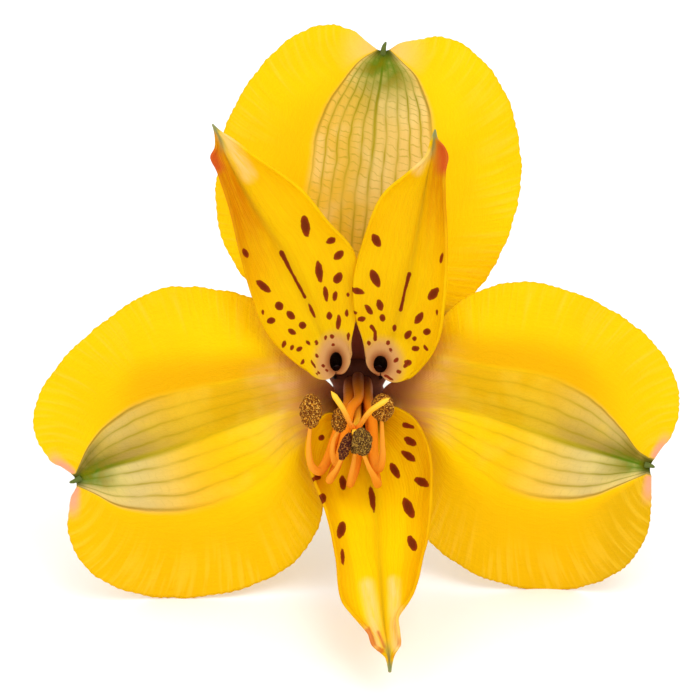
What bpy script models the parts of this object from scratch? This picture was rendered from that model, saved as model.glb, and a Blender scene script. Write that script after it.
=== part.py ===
"""A cut alstroemeria flower that lies on a surface and leans back on its own stalk.

The flower is modelled in its own axes, in millimetres: X to the right and Y up across its open face, and
Z out of the throat, from the top of the ovary at 0 towards someone who looks into the flower. One empty
leans these axes back from the surface that the flower lies on. The two side tepals touch the surface with
their lower margins, and the stalk touches it with its cut end.
"""

import math

import bmesh
import bpy
from mathutils import Matrix, Vector

MM = 0.001

# Driving dimensions, in millimetres and degrees
LEAN = 27.0  # how far the flower's axis rises above the surface
THROAT_HEIGHT = 14.38  # height of the ovary's top above the surface
FOOTPRINT_X, FOOTPRINT_Y = 0.2, -3.22  # where the ovary's top stands over the middle of the footprint
SEAT = 0.3  # clearance between a piece and what carries it
OUTER_THICKNESS = 0.7
INNER_THICKNESS = 0.65
TOOTH = 0.28  # depth of the fine teeth on the outer tepals' margins
PRESSED = 0.2  # what lies lower than this is pressed flat on the surface
OVARY_RADIUS = 2.6  # between the ribs
OVARY_LENGTH = 8.6
OVARY_RIBS = 6
RIB_HEIGHT = 0.9
STALK_RADIUS = 1.1
STALK_REACH = 49.0  # how far behind the ovary's top the stalk's cut end lies
STALK_END_SLOPE = 4.0
FILAMENT_RADIUS = 0.45
STYLE_RADIUS = 0.38

# A tepal's rows of faces from the ovary to the tip, and the share of them that is the narrow claw
ROWS = 38
CLAW_SHARE = 0.25
CLAW_POINTS = 4

# Each tepal: its two margins and its midrib from the ovary to the tip, in the flower's axes. The first
# four points of each line run up the claw, and the rest round the blade to the short edge at its tip.
OUTER_LEFT = {
    "first": [
        (-2.85, -0.8, SEAT), (-2.8, -0.5, 5), (-4, 0.7, 8.8), (-7, 3.6, 11.9),
        (-10.9, 9, 14.1), (-14.1, 10.1, 15.5), (-20.6, 10.3, 17.2), (-25.6, 7.5, 18.2),
        (-30.8, 2.8, 19), (-33.6, -1.7, 19), (-33.5, -5.4, 18.9), (-31.9, -7.8, 18.4),
        (-31, -8.3, 18), (-30.2, -9.1, 17.8),
    ],
    "midrib": [
        (-2.7, -1.55, SEAT), (-3.5, -2.1, 4.8), (-5, -2.2, 9.2), (-7.3, -2.3, 12.6),
        (-11.8, -3.8, 15.2), (-16.4, -5.3, 16.6), (-21.1, -6.9, 17.4), (-25.7, -8.3, 17.6),
        (-29.9, -9.8, 17.6),
    ],
    "last": [
        (-1.7, -2.65, SEAT), (-2.5, -3.7, 4.6), (-3.3, -5.4, 7.8), (-4.3, -8.6, 10.2),
        (-3.8, -13.2, 12), (-6.4, -18.1, 12.6), (-11.5, -21, 12.1), (-18.9, -22.2, 12),
        (-24.4, -21.4, 13.8), (-28.4, -19, 15.6), (-30.2, -15.6, 17), (-30.2, -12.8, 17.5),
        (-30.1, -11.5, 17.5), (-29.8, -10.5, 17.6),
    ],
}
OUTER_RIGHT = {
    "first": [
        (2.85, -0.8, SEAT), (2.95, -0.6, 5), (4.1, 0.4, 8.8), (6.9, 2.9, 12),
        (9.2, 7.6, 14.2), (12.7, 10.1, 15.5), (17.3, 11, 16.8), (22.4, 9.9, 17.6),
        (28, 7, 18.6), (32, 3, 19), (33.4, -1, 19), (32.8, -4.8, 18.7),
        (31.7, -6.3, 18.1), (31.1, -7.4, 17.8),
    ],
    "midrib": [
        (2.7, -1.55, SEAT), (3.6, -2.1, 4.8), (5.1, -2.1, 9.2), (7.4, -1.9, 12.6),
        (12, -2.8, 15.2), (16.6, -4, 16.6), (21.3, -5.5, 17.4), (26, -6.9, 17.6),
        (30.7, -8.3, 17.6),
    ],
    "last": [
        (1.7, -2.65, SEAT), (2.6, -3.7, 4.6), (4.2, -5.6, 7.6), (6.6, -9.2, 9.2),
        (7, -15.4, 10.8), (10.9, -18.9, 11), (14.5, -20.5, 10.6), (18.6, -21.4, 10.3),
        (23.4, -21.1, 11.2), (27.7, -19.1, 13.5), (30, -15.9, 16), (30.6, -12.4, 17.2),
        (30.6, -10.4, 17.5), (30.6, -9.3, 17.6),
    ],
}
OUTER_TOP = {
    "first": [
        (-1.5, 2.7, SEAT), (-2, 3.5, 4.6), (-3.6, 5.6, 7.6), (-7, 7.6, 9.8),
        (-11.8, 11.3, 12), (-14.4, 16, 13.5), (-14.9, 21.1, 14.5), (-13.7, 27.8, 15),
        (-11.2, 32.3, 14.5), (-7.1, 36.6, 13.6), (-3.6, 38, 13.8), (-0.5, 37.3, 14.7),
        (0.9, 36.2, 15.1), (1.8, 35.5, 15.4),
    ],
    "midrib": [
        (0, 3.1, SEAT), (0, 3.9, 4.8), (0, 5.2, 8.4), (0.2, 8, 11.4),
        (0.6, 14.5, 14.2), (1.2, 21, 15.8), (1.7, 26.5, 16.2), (2.1, 31.8, 16),
        (2.65, 35.2, 15.5),
    ],
    "last": [
        (1.5, 2.7, SEAT), (2, 3.5, 4.6), (4, 4.9, 7.2), (8.4, 6.9, 9.4),
        (12.5, 10.2, 11.3), (15.4, 15, 13), (17, 20.8, 14), (16.9, 25.2, 14.7),
        (15.5, 30.6, 15), (12.5, 34.8, 13.8), (9.1, 36.7, 13.6), (5.7, 36.3, 14.8),
        (4.3, 36, 15.1), (3.5, 35.5, 15.4),
    ],
}
INNER_LEFT = {
    "first": [
        (-2.3, 0.85, SEAT), (-2.65, 1.15, 4.8), (-2.95, 1.3, 8.8), (-3.1, 1.15, 12.2),
        (-4.8, 1.4, 12.8), (-7.4, 3.2, 14.4), (-9.4, 5.5, 16.5), (-10.8, 8.9, 19.5),
        (-12.2, 14.1, 24.5), (-13.1, 18.3, 28), (-14.3, 22, 31), (-14.9, 23.9, 32.4),
        (-15.1, 25.8, 34),
    ],
    "midrib": [
        (-2.95, 1.85, SEAT), (-3.35, 2.4, 4.8), (-3.5, 3.1, 8.8), (-3.3, 4, 12.6),
        (-5.6, 9.5, 16.6), (-8.4, 14.8, 21.2), (-11.2, 19.2, 26), (-13.5, 23.6, 31.2),
        (-14.7, 26.1, 34.3),
    ],
    "last": [
        (-1.5, 1.85, SEAT), (-1.6, 2.1, 4.8), (-1.6, 2.1, 8.8), (-1.7, 1.45, 12.2),
        (-0.9, 2.2, 12.9), (-0.8, 4.6, 14.1), (-0.8, 6.9, 15.3), (-0.9, 10.4, 17.4),
        (-0.9, 13.9, 20.2), (-3.2, 17.1, 23.4), (-6, 20.4, 27.4), (-10.8, 23.8, 31.5),
        (-12.7, 25, 33), (-14, 26.2, 34.2),
    ],
}
INNER_RIGHT = {
    "first": [
        (1.5, 1.85, SEAT), (1.5, 2, 4.8), (1.4, 1.9, 8.8), (1.7, 1.25, 12.2),
        (1, 2.4, 13), (0.5, 4.9, 14.3), (-0.3, 7.4, 16), (-0.5, 11.2, 18.6),
        (0.5, 15, 21.3), (2.4, 19.6, 25.3), (5.1, 22.4, 28.7), (6.2, 24, 30.9),
        (7.1, 25.4, 32.5),
    ],
    "midrib": [
        (2.95, 1.85, SEAT), (3.2, 2.4, 4.8), (3.4, 3.1, 8.8), (3.3, 4, 12.7),
        (4.8, 9.5, 16.8), (6, 15, 21), (6.9, 20.4, 25.8), (7.4, 23.9, 30.2),
        (7.6, 25.6, 32.4),
    ],
    "last": [
        (2.3, 0.85, SEAT), (2.6, 1, 4.8), (2.9, 1.05, 8.8), (3.1, 0.95, 12.1),
        (4.8, 0.7, 12.6), (6.9, 2.4, 14.3), (8.3, 4.8, 16.6), (8.9, 9, 20),
        (9.1, 14.8, 24.3), (8.8, 19.7, 27.8), (9, 23.6, 31), (8.2, 25.4, 32.5),
    ],
}
INNER_LOWER = {
    "first": [
        (-0.7, -2.1, SEAT), (-1.2, -2.6, 4.8), (-2.2, -2.8, 8.4), (-3.4, -2.9, 11),
        (-4.9, -4.2, 12.6), (-5.5, -6.6, 14.2), (-4.8, -9.2, 16.2), (-3.3, -13, 19.4),
        (-2.3, -17.4, 23.4), (-1.9, -21, 27), (0.2, -24, 30), (1.5, -26, 31.8),
        (2.5, -28, 33.4),
    ],
    "midrib": [
        (0, -3.3, SEAT), (0, -4, 4.6), (0.3, -5.3, 8.6), (0.9, -7.6, 11.3),
        (1.7, -11.2, 14.8), (2, -15.2, 18.8), (2.3, -19.5, 23.4), (2.6, -23.5, 28),
        (3.15, -28.4, 33.3),
    ],
    "last": [
        (0.7, -2.1, SEAT), (1.3, -2.4, 4.8), (2.6, -2.2, 8.6), (4, -2.2, 11.2),
        (5.9, -3.4, 13), (7.4, -6.5, 15.6), (7.6, -11.2, 19.4), (7.1, -15, 22.4),
        (6, -19.4, 26.2), (4.1, -22.9, 29.4), (4.4, -25.2, 31.2), (3.8, -27.9, 33.4),
    ],
}

# The style, and the three stigma branches at its end
STYLE_ROUTE = [(0, 0, SEAT), (0, -0.9, 4.5), (-0.05, -2.6, 9), (-0.15, -3.9, 14), (-0.3, -4.4, 19.6)]
STIGMA_ROUTES = [
    [(-0.3, -4.35, 19.2), (-0.75, -3.9, 20.4), (-1.6, -2.2, 22), (-2.8, -0.4, 23.2)],
    [(-0.3, -4.35, 19.2), (0.2, -3.9, 20.4), (1.2, -2.5, 22.2), (3.2, -1.1, 23.6)],
    [(-0.3, -4.35, 19.2), (-0.32, -4.6, 20.4), (-0.4, -4.7, 21.4), (-0.3, -4.5, 22.2)],
]
# Every filament starts on a ring round the style: the ring's middle in Y and Z, and its radius
FILAMENT_RINGS = [(0, SEAT, 0.95), (-0.9, 4.5, 1.1), (-2.65, 9, 1.32)]
# Each stamen: its place on the ring in degrees and its filament's way from there to the anther, then the
# anther's middle, the way its long axis points, its length and its width
STAMENS = [
    (150, [(-1.8, -3.6, 11.8), (-2.5, -5.6, 14.2), (-3.3, -7.8, 16.4), (-4.1, -8.8, 17.8),
           (-4.9, -8.1, 19), (-5.15, -6.3, 20.3)], (-4.9, -2.4, 22.2), (0.05, 1, 0.3), 3.7, 2.2),
    (210, [(-1.5, -5.3, 11.8), (-2, -7.5, 14.8), (-2.7, -9.2, 17.1), (-3, -9.7, 18.4),
           (-2.8, -9.2, 20), (-2.3, -8.5, 21.6)], (-1.35, -6.1, 23.2), (0.3, 1, 0.2), 3.0, 1.1),
    (330, [(1.4, -5.4, 11.6), (1.6, -7.6, 14), (1.85, -9.5, 16.4), (2, -10.1, 18.2),
           (1.7, -9.4, 20.2), (1.1, -8.3, 22.2)], (0.4, -5.6, 24.1), (-0.1, 1, 0.25), 3.0, 1.9),
    (30, [(1.5, -3.4, 11.6), (1.6, -5.4, 14), (1.7, -7.4, 16), (2.15, -8.5, 17.4),
          (2.5, -7.5, 18.5), (2.5, -5.4, 19.4)], (2.5, -2.1, 20.6), (0.05, 1, 0.25), 3.0, 2.2),
    (90, [(-0.8, -2.4, 11.8), (-1.3, -4.8, 14.4), (-1.9, -7, 16.6), (-2.3, -8, 17.9),
          (-2.7, -7, 18.9), (-2.6, -5.6, 19.3)], (-1.85, -3.3, 19.9), (0.15, 1, 0.2), 2.4, 1.3),
    (270, [(0, -5.7, 11.8), (-0.2, -8, 14.4), (-0.7, -9.7, 16.8), (-0.85, -10.1, 17.9),
           (-0.75, -9.4, 19.2)], (-0.5, -6.9, 20.4), (0.05, 1, 0.15), 2.1, 1.4),
]


def clear_scene():
    for old in list(bpy.data.objects):
        bpy.data.objects.remove(old, do_unlink=True)


def make_material(name, colour, roughness):
    material = bpy.data.materials.new(name)
    material.use_nodes = True
    shader = material.node_tree.nodes["Principled BSDF"]
    shader.inputs["Base Color"].default_value = (*colour, 1.0)
    shader.inputs["Roughness"].default_value = roughness
    shader.inputs["Metallic"].default_value = 0.0
    return material


def make_flower_axes(collection):
    """The empty whose Z is the flower's axis. Its X and Y lie across the flower's open face."""
    axes = bpy.data.objects.new("flower_axes", None)
    axes.location = (FOOTPRINT_X * MM, FOOTPRINT_Y * MM, THROAT_HEIGHT * MM)
    axes.rotation_euler = (math.radians(90 - LEAN), 0, 0)
    axes.empty_display_size = 0.01
    collection.objects.link(axes)
    bpy.context.view_layer.update()
    return axes


def add_piece(collection, axes, name, mesh, material):
    piece = bpy.data.objects.new(name, mesh)
    piece.data.materials.append(material)
    piece.parent = axes
    collection.objects.link(piece)
    return piece


def smooth_path(points, steps=16):
    """Points along a centripetal Catmull-Rom curve through the given ones."""
    points = [Vector(point) for point in points]
    ends = [2 * points[0] - points[1], *points, 2 * points[-1] - points[-2]]
    path = [points[0]]
    for a, b, c, d in zip(ends, ends[1:], ends[2:], ends[3:]):
        knots = [0.0]
        for start, end in ((a, b), (b, c), (c, d)):
            knots.append(knots[-1] + max((end - start).length, 1e-6) ** 0.5)
        t0, t1, t2, t3 = knots
        for step in range(1, steps + 1):
            t = t1 + (t2 - t1) * step / steps
            ab = a.lerp(b, (t - t0) / (t1 - t0))
            bc = b.lerp(c, (t - t1) / (t2 - t1))
            cd = c.lerp(d, (t - t2) / (t3 - t2))
            abc = ab.lerp(bc, (t - t0) / (t2 - t0))
            bcd = bc.lerp(cd, (t - t1) / (t3 - t1))
            path.append(abc.lerp(bcd, (t - t1) / (t2 - t1)))
    return path


def along(path, share):
    """The point at this share of the path's length."""
    lengths = [0.0]
    for start, end in zip(path, path[1:]):
        lengths.append(lengths[-1] + (end - start).length)
    wanted = share * lengths[-1]
    for index in range(1, len(path)):
        if lengths[index] >= wanted:
            span = lengths[index] - lengths[index - 1]
            return path[index - 1].lerp(path[index], (wanted - lengths[index - 1]) / max(span, 1e-9))
    return path[-1]


def line_reader(points, steps=16):
    """A function that reads a tepal's line at v: from 0 at the ovary up the claw, then round the blade to 1."""
    path = smooth_path(points, steps)
    claw_end = (CLAW_POINTS - 1) * steps
    claw, blade = path[: claw_end + 1], path[claw_end:]

    def read(v):
        if v <= CLAW_SHARE:
            return along(claw, v / CLAW_SHARE)
        return along(blade, (v - CLAW_SHARE) / (1 - CLAW_SHARE))

    return read


def arc_point(first, middle, last, u):
    """A point on the circle through three points, with u from -1 at the first to 1 at the last."""
    to_first, to_last = first - middle, last - middle
    normal = to_first.cross(to_last)
    if normal.length < 1e-4 * to_first.length * to_last.length:
        return middle + u * (last - first) / 2 + u * u * ((first + last) / 2 - middle)
    out = to_last.length_squared * normal.cross(to_first) + to_first.length_squared * to_last.cross(normal)
    centre = middle + out / (2 * normal.length_squared)
    spoke = middle - centre
    normal.normalize()

    def turn(point):
        arm = point - centre
        return math.atan2(normal.dot(spoke.cross(arm)), spoke.dot(arm))

    low, high = turn(first), turn(last)
    angle = u * (high - low) / 2 + u * u * (high + low) / 2
    return centre + Matrix.Rotation(angle, 3, normal) @ spoke


def smooth_step(value):
    value = min(max(value, 0.0), 1.0)
    return value * value * (3 - 2 * value)


def tepal_surface(lines, groove, wave, waves):
    """A function from (u, v) to the tepal's middle surface: u across from -1 to 1, v from claw to tip."""
    first, midrib, last = (line_reader(lines[key]) for key in ("first", "midrib", "last"))

    def surface(u, v):
        point = arc_point(first(v), midrib(v), last(v), u)
        blade = smooth_step((v - CLAW_SHARE) / 0.2) * smooth_step((1 - v) / 0.2)
        fold = groove * math.exp(-((u / 0.16) ** 2))
        ripple = wave * abs(u) ** 3 * math.sin(math.tau * waves * v + 1.3 * u)
        point.z += blade * (ripple - fold)
        return point

    return surface


def make_tepal(collection, axes, name, surface, columns, thickness, tooth, material):
    """A grid bent to the tepal's surface, toothed along its margins, then given its thickness."""
    mesh = bpy.data.meshes.new(name)
    grid = bmesh.new()
    bmesh.ops.create_grid(grid, x_segments=columns, y_segments=ROWS, size=1.0)
    for vert in grid.verts:
        u, v = vert.co.x, (vert.co.y + 1) / 2
        point = surface(u, v)
        if abs(u) > 0.999 and CLAW_SHARE < v < 0.9:
            inner = surface(u * 0.9, v)
            point += (round(v * ROWS) % 2 - 0.5) * tooth * (point - inner).normalized()
        vert.co = point * MM
    bmesh.ops.triangulate(grid, faces=grid.faces[:])
    grid.to_mesh(mesh)
    grid.free()
    mesh.shade_smooth()
    tepal = add_piece(collection, axes, name, mesh, material)
    shell = tepal.modifiers.new("thickness", "SOLIDIFY")
    shell.thickness = thickness * MM
    shell.offset = 0
    return tepal


def apply_modifiers(piece):
    bpy.context.view_layer.update()
    graph = bpy.context.evaluated_depsgraph_get()
    mesh = bpy.data.meshes.new_from_object(piece.evaluated_get(graph))
    piece.modifiers.clear()
    piece.data = mesh


def press_flat(piece):
    """Sets what lies lowest on the surface, so that the piece rests on a small flat spot."""
    apply_modifiers(piece)
    to_world = piece.matrix_world
    to_local = to_world.inverted()
    for vert in piece.data.vertices:
        place = to_world @ vert.co
        if place.z < PRESSED * MM:
            place.z = 0.0
            vert.co = to_local @ place


def make_tube(collection, axes, name, route, radius, material, taper=None):
    """A round tube along the route. The taper gives each point's share of the radius."""
    curve = bpy.data.curves.new(name, "CURVE")
    curve.dimensions = "3D"
    curve.bevel_depth = radius * MM
    curve.bevel_resolution = 2
    curve.use_fill_caps = True
    spline = curve.splines.new("POLY")
    spline.points.add(len(route) - 1)
    for index, (point, place) in enumerate(zip(spline.points, route)):
        point.co = (*(Vector(place) * MM), 1.0)
        point.radius = taper(index / (len(route) - 1)) if taper else 1.0
    tube = bpy.data.objects.new(name, curve)
    tube.data.materials.append(material)
    tube.parent = axes
    collection.objects.link(tube)
    return tube


def evenly(points, count):
    path = smooth_path(points)
    return [along(path, index / (count - 1)) for index in range(count)]


def welded_mesh(tube):
    """The tube's closed mesh in the flower's axes, with its caps joined on."""
    bpy.context.view_layer.update()
    graph = bpy.context.evaluated_depsgraph_get()
    mesh = bpy.data.meshes.new_from_object(tube.evaluated_get(graph))
    welded = bmesh.new()
    welded.from_mesh(mesh)
    bmesh.ops.remove_doubles(welded, verts=welded.verts, dist=1e-6)
    welded.to_mesh(mesh)
    welded.free()
    bpy.data.objects.remove(tube, do_unlink=True)
    return mesh


def make_style(collection, axes, material):
    """The style and its three stigma branches, joined in one body."""
    steady = make_tube(collection, axes, "style_tube", evenly(STYLE_ROUTE, 9), STYLE_RADIUS, material)
    style = add_piece(collection, axes, "style", welded_mesh(steady), material)
    branches = bpy.data.collections.new("branches")
    bpy.context.scene.collection.children.link(branches)
    for route in STIGMA_ROUTES:
        branch = make_tube(
            collection, axes, "branch", evenly(route, 7), STYLE_RADIUS * 0.82, material, lambda t: 0.9 + 0.25 * t
        )
        add_piece(branches, axes, "branch", welded_mesh(branch), material)
    union = style.modifiers.new("branches", "BOOLEAN")
    union.operation = "UNION"
    union.operand_type = "COLLECTION"
    union.collection = branches
    apply_modifiers(style)
    for branch in list(branches.objects):
        bpy.data.objects.remove(branch, do_unlink=True)
    bpy.data.collections.remove(branches)


def anther_foot(middle, towards, length):
    """Where the filament ends, just short of the anther's lower end."""
    return Vector(middle) - Vector(towards).normalized() * (length / 2 + SEAT)


def filament_route(angle, points, foot):
    turn = math.radians(angle)
    ring = [(radius * math.cos(turn), y + radius * math.sin(turn), z) for y, z, radius in FILAMENT_RINGS]
    return evenly([*ring, *points, foot], 13)


def filament_taper(share):
    """Slim at the ovary, fullest at the bend and thin at the anther."""
    swell = smooth_step(share / 0.5)
    return 0.72 + 0.28 * swell - 0.55 * smooth_step((share - 0.6) / 0.4)


def make_anther(collection, axes, name, middle, towards, length, width, material):
    """Two long pollen sacs side by side: an egg shape with a furrow down the front and the back."""
    mesh = bpy.data.meshes.new(name)
    sacs = bmesh.new()
    bmesh.ops.create_uvsphere(sacs, u_segments=12, v_segments=8, radius=1.0)
    for vert in sacs.verts:
        angle = math.atan2(vert.co.y, vert.co.x)
        furrow = 1 - 0.22 * (1 - vert.co.z**2) * math.sin(angle) ** 4
        vert.co.x *= width / 2
        vert.co.y *= width * 0.42 * furrow
        vert.co.z *= length / 2
    bmesh.ops.scale(sacs, vec=(MM, MM, MM), verts=sacs.verts)
    sacs.to_mesh(mesh)
    sacs.free()
    mesh.shade_smooth()
    anther = add_piece(collection, axes, name, mesh, material)
    anther.location = Vector(middle) * MM
    anther.rotation_mode = "QUATERNION"
    anther.rotation_quaternion = Vector(towards).to_track_quat("Z", "Y")


def ovary_radius(share, angle):
    """The ovary's radius at this share of its length below the top, with a rib behind each tepal."""
    shoulder = 0.9 + 0.1 * smooth_step(share / 0.14)
    narrowing = smooth_step((share - 0.3) / 0.7)
    plain = OVARY_RADIUS * shoulder * (1 - narrowing) + STALK_RADIUS * 1.15 * narrowing
    crest = (0.5 - 0.5 * math.cos(OVARY_RIBS * angle)) ** 1.3
    return plain + RIB_HEIGHT * crest * shoulder * (1 - smooth_step((share - 0.35) / 0.6))


def make_ovary(collection, axes, material):
    """A capped cylinder with more loops, drawn in to the stalk and raised into six rounded ribs."""
    mesh = bpy.data.meshes.new("ovary")
    body = bmesh.new()
    around, loops = OVARY_RIBS * 6, 8
    bmesh.ops.create_cone(
        body, cap_ends=True, segments=around, radius1=1.0, radius2=1.0, depth=1.0,
        matrix=Matrix.Translation((0, 0, -0.5)),
    )
    for index in range(1, loops):
        cut = body.verts[:] + body.edges[:] + body.faces[:]
        bmesh.ops.bisect_plane(body, geom=cut, plane_co=(0, 0, -index / loops), plane_no=(0, 0, 1))
    for vert in body.verts:
        angle = math.atan2(vert.co.y, vert.co.x)
        radius = ovary_radius(-vert.co.z, angle)
        vert.co = Vector((radius * math.cos(angle), radius * math.sin(angle), vert.co.z * OVARY_LENGTH)) * MM
    body.to_mesh(mesh)
    body.free()
    mesh.shade_smooth()
    mesh.set_sharp_from_angle(angle=math.radians(50))
    add_piece(collection, axes, "ovary", mesh, material)


def stalk_route(count):
    """From the ovary along the flower's axis, easing to lie almost level where the cut end rests."""
    lean = math.radians(LEAN)
    end_slope = math.radians(STALK_END_SLOPE)
    start_below = OVARY_LENGTH + SEAT
    start_y = FOOTPRINT_Y + start_below * math.cos(lean)
    start = Vector((FOOTPRINT_X, start_y, THROAT_HEIGHT - start_below * math.sin(lean)))
    end = Vector((FOOTPRINT_X, FOOTPRINT_Y + STALK_REACH, STALK_RADIUS))
    run, drop = end.y - start.y, start.z - end.z
    reach = (drop - run * math.tan(end_slope)) / (math.sin(lean) - math.cos(lean) * math.tan(end_slope))
    turn = start + reach * Vector((0, math.cos(lean), -math.sin(lean)))
    route = []
    for index in range(count):
        t = index / (count - 1)
        route.append(start.lerp(turn, t).lerp(turn.lerp(end, t), t))
    return route


def make_stalk(collection, material):
    """The flower's own stalk, in the surface's axes, with its cut end pressed flat below."""
    tube = make_tube(collection, None, "stalk_tube", stalk_route(16), STALK_RADIUS, material)
    press_flat(add_piece(collection, None, "stalk", welded_mesh(tube), material))


def main():
    clear_scene()
    collection = bpy.data.collections.new("alstroemeria_flower")
    bpy.context.scene.collection.children.link(collection)
    axes = make_flower_axes(collection)

    yellow = make_material("outer_tepal_yellow", (1.0, 0.62, 0.01), 0.5)
    deep_yellow = make_material("inner_tepal_yellow", (1.0, 0.56, 0.01), 0.5)
    orange = make_material("filament_orange", (0.85, 0.22, 0.02), 0.45)
    pale_orange = make_material("style_yellow", (0.95, 0.45, 0.03), 0.45)
    ochre = make_material("pollen_ochre", (0.28, 0.1, 0.015), 0.9)
    green = make_material("ovary_green", (0.16, 0.26, 0.04), 0.5)
    stalk_green = make_material("stalk_green", (0.2, 0.33, 0.06), 0.5)

    outer = {"outer_tepal_left": OUTER_LEFT, "outer_tepal_right": OUTER_RIGHT, "outer_tepal_top": OUTER_TOP}
    for index, (name, lines) in enumerate(outer.items()):
        surface = tepal_surface(lines, groove=0.9, wave=0.55, waves=3.5 + 0.4 * index)
        tepal = make_tepal(collection, axes, name, surface, 12, OUTER_THICKNESS, TOOTH, yellow)
        if lines is not OUTER_TOP:
            press_flat(tepal)

    inner = {"inner_tepal_left": INNER_LEFT, "inner_tepal_right": INNER_RIGHT, "inner_tepal_lower": INNER_LOWER}
    for index, (name, lines) in enumerate(inner.items()):
        surface = tepal_surface(lines, groove=0.6, wave=0.2, waves=3 + 0.5 * index)
        make_tepal(collection, axes, name, surface, 8, INNER_THICKNESS, 0.0, deep_yellow)

    for index, (angle, points, middle, towards, length, width) in enumerate(STAMENS, start=1):
        route = filament_route(angle, points, anther_foot(middle, towards, length))
        make_tube(collection, axes, f"filament_{index}", route, FILAMENT_RADIUS, orange, filament_taper)
        make_anther(collection, axes, f"anther_{index}", middle, towards, length, width, ochre)
    make_style(collection, axes, pale_orange)
    make_ovary(collection, axes, green)
    make_stalk(collection, stalk_green)


main()
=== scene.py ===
# %% [markdown]
# # A yellow alstroemeria flower, cut and laid on a white table
#
# The frame is the flower as plain solids. This file grows the same flower again as it looks: thin waved
# tepals with fine teeth, a net of veins and brown flecks, mealy anthers, and a ribbed green ovary.

# %% Load the frame and keep its box
import math

import bmesh
import bpy
import numpy as np
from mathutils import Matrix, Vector, noise


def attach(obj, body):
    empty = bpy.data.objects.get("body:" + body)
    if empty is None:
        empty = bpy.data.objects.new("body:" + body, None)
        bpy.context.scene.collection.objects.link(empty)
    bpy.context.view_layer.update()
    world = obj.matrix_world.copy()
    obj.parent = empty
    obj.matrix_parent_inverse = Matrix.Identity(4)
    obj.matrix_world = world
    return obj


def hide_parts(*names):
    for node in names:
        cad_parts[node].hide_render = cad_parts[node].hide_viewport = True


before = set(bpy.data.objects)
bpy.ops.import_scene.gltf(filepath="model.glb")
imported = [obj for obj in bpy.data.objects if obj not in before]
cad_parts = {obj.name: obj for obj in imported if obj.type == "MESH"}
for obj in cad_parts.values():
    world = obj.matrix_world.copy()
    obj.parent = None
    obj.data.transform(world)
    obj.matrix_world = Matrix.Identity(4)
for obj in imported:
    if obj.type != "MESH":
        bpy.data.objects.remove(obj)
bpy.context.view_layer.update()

# %% [markdown]
# ## The flower's own axes
#
# The flower lies on its two side tepals and its stalk, and looks up at 27 degrees. It is easier to shape it
# face on: x to the right and y up across the open face, and depth d out of the throat towards the viewer,
# all in millimetres. One small function then leans every point back to its place on the table.

# %% Axes, and a view from the front
MM = 0.001
LEAN = math.radians(27.0)
THROAT = np.array((0.2, -3.22, 14.38))  # the ovary's top, in millimetres in the table's axes
RIGHTWARD = (1.0, 0.0, 0.0)
UPWARD = (0.0, math.sin(LEAN), math.cos(LEAN))
OUTWARD = (0.0, -math.cos(LEAN), math.sin(LEAN))
AXES = np.array((RIGHTWARD, UPWARD, OUTWARD))
EYE = 600.0  # how far the camera stands from the throat


def place(points):
    """From the flower's axes in millimetres to the table's axes in metres."""
    return (THROAT + np.asarray(points) @ AXES) * MM


def seen(points):
    """Where points are seen from the front, as x and y on the plane through the throat."""
    return points[..., :2] * (EYE / (EYE - points[..., 2:]))


print("the flower's axis points to", np.round(OUTWARD, 3).tolist())

# %% [markdown]
# ## Camera
#
# The photo looks straight into the flower from far away, so the camera stands 600 mm out along the flower's
# own axis with a long lens.

# %% Camera
SENSOR = 36.0
PHOTO_SIDE, PIXELS_TO_MM = 700.0, 9.3  # the scale is the one at the throat
PHOTO_MIDDLE = (-0.86, 3.87)  # in the flower's axes


def put_in_scene(name, data):
    made = bpy.data.objects.new(name, data)
    bpy.context.scene.collection.objects.link(made)
    return made


camera_data = bpy.data.cameras.new("camera")
camera_data.sensor_width = SENSOR
camera_data.lens = SENSOR * EYE * PIXELS_TO_MM / PHOTO_SIDE
camera_data.clip_start = 0.01
camera = put_in_scene("camera", camera_data)
camera.location = place((*PHOTO_MIDDLE, EYE))
camera.rotation_euler = (math.radians(90.0) - LEAN, 0.0, 0.0)
bpy.context.scene.camera = camera
print("camera lens:", round(camera_data.lens, 1), "mm")

# %% [markdown]
# ## Lines, sheets and tubes
#
# A tepal grows from three lines: its two margins and its midrib. Stamens and stalk grow from one. These few
# functions turn a handful of points into smooth lines, lines into bent sheets, and a line into a tube.

# %% Line tools
LINE_STEPS = 24


def unit(arms):
    return arms / np.linalg.norm(arms, axis=-1, keepdims=True)


def smooth_line(points, steps=LINE_STEPS):
    """A centripetal Catmull-Rom curve through the points."""
    points = np.array(points, float)
    ends = np.vstack((2 * points[0] - points[1], points, 2 * points[-1] - points[-2]))
    line = [points[:1]]
    for a, b, c, d in zip(ends, ends[1:], ends[2:], ends[3:]):
        t0 = 0.0
        t1, t2, t3 = np.cumsum([max(np.linalg.norm(gap), 1e-6) ** 0.5 for gap in (b - a, c - b, d - c)])
        t = (t1 + (t2 - t1) * np.arange(1, steps + 1) / steps)[:, None]
        ab = a + (b - a) * (t - t0) / (t1 - t0)
        bc = b + (c - b) * (t - t1) / (t2 - t1)
        cd = c + (d - c) * (t - t2) / (t3 - t2)
        abc = ab + (bc - ab) * (t - t0) / (t2 - t0)
        bcd = bc + (cd - bc) * (t - t1) / (t3 - t1)
        line.append(abc + (bcd - abc) * (t - t1) / (t2 - t1))
    return np.vstack(line)


def lengths_along(line):
    return np.concatenate(([0.0], np.cumsum(np.linalg.norm(np.diff(line, axis=0), axis=1))))


def read_line(line, shares):
    """Points at these shares of the line's length."""
    lengths = lengths_along(line)
    wanted = np.asarray(shares) * lengths[-1]
    return np.stack([np.interp(wanted, lengths, line[:, axis]) for axis in range(line.shape[1])], axis=-1)


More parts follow.
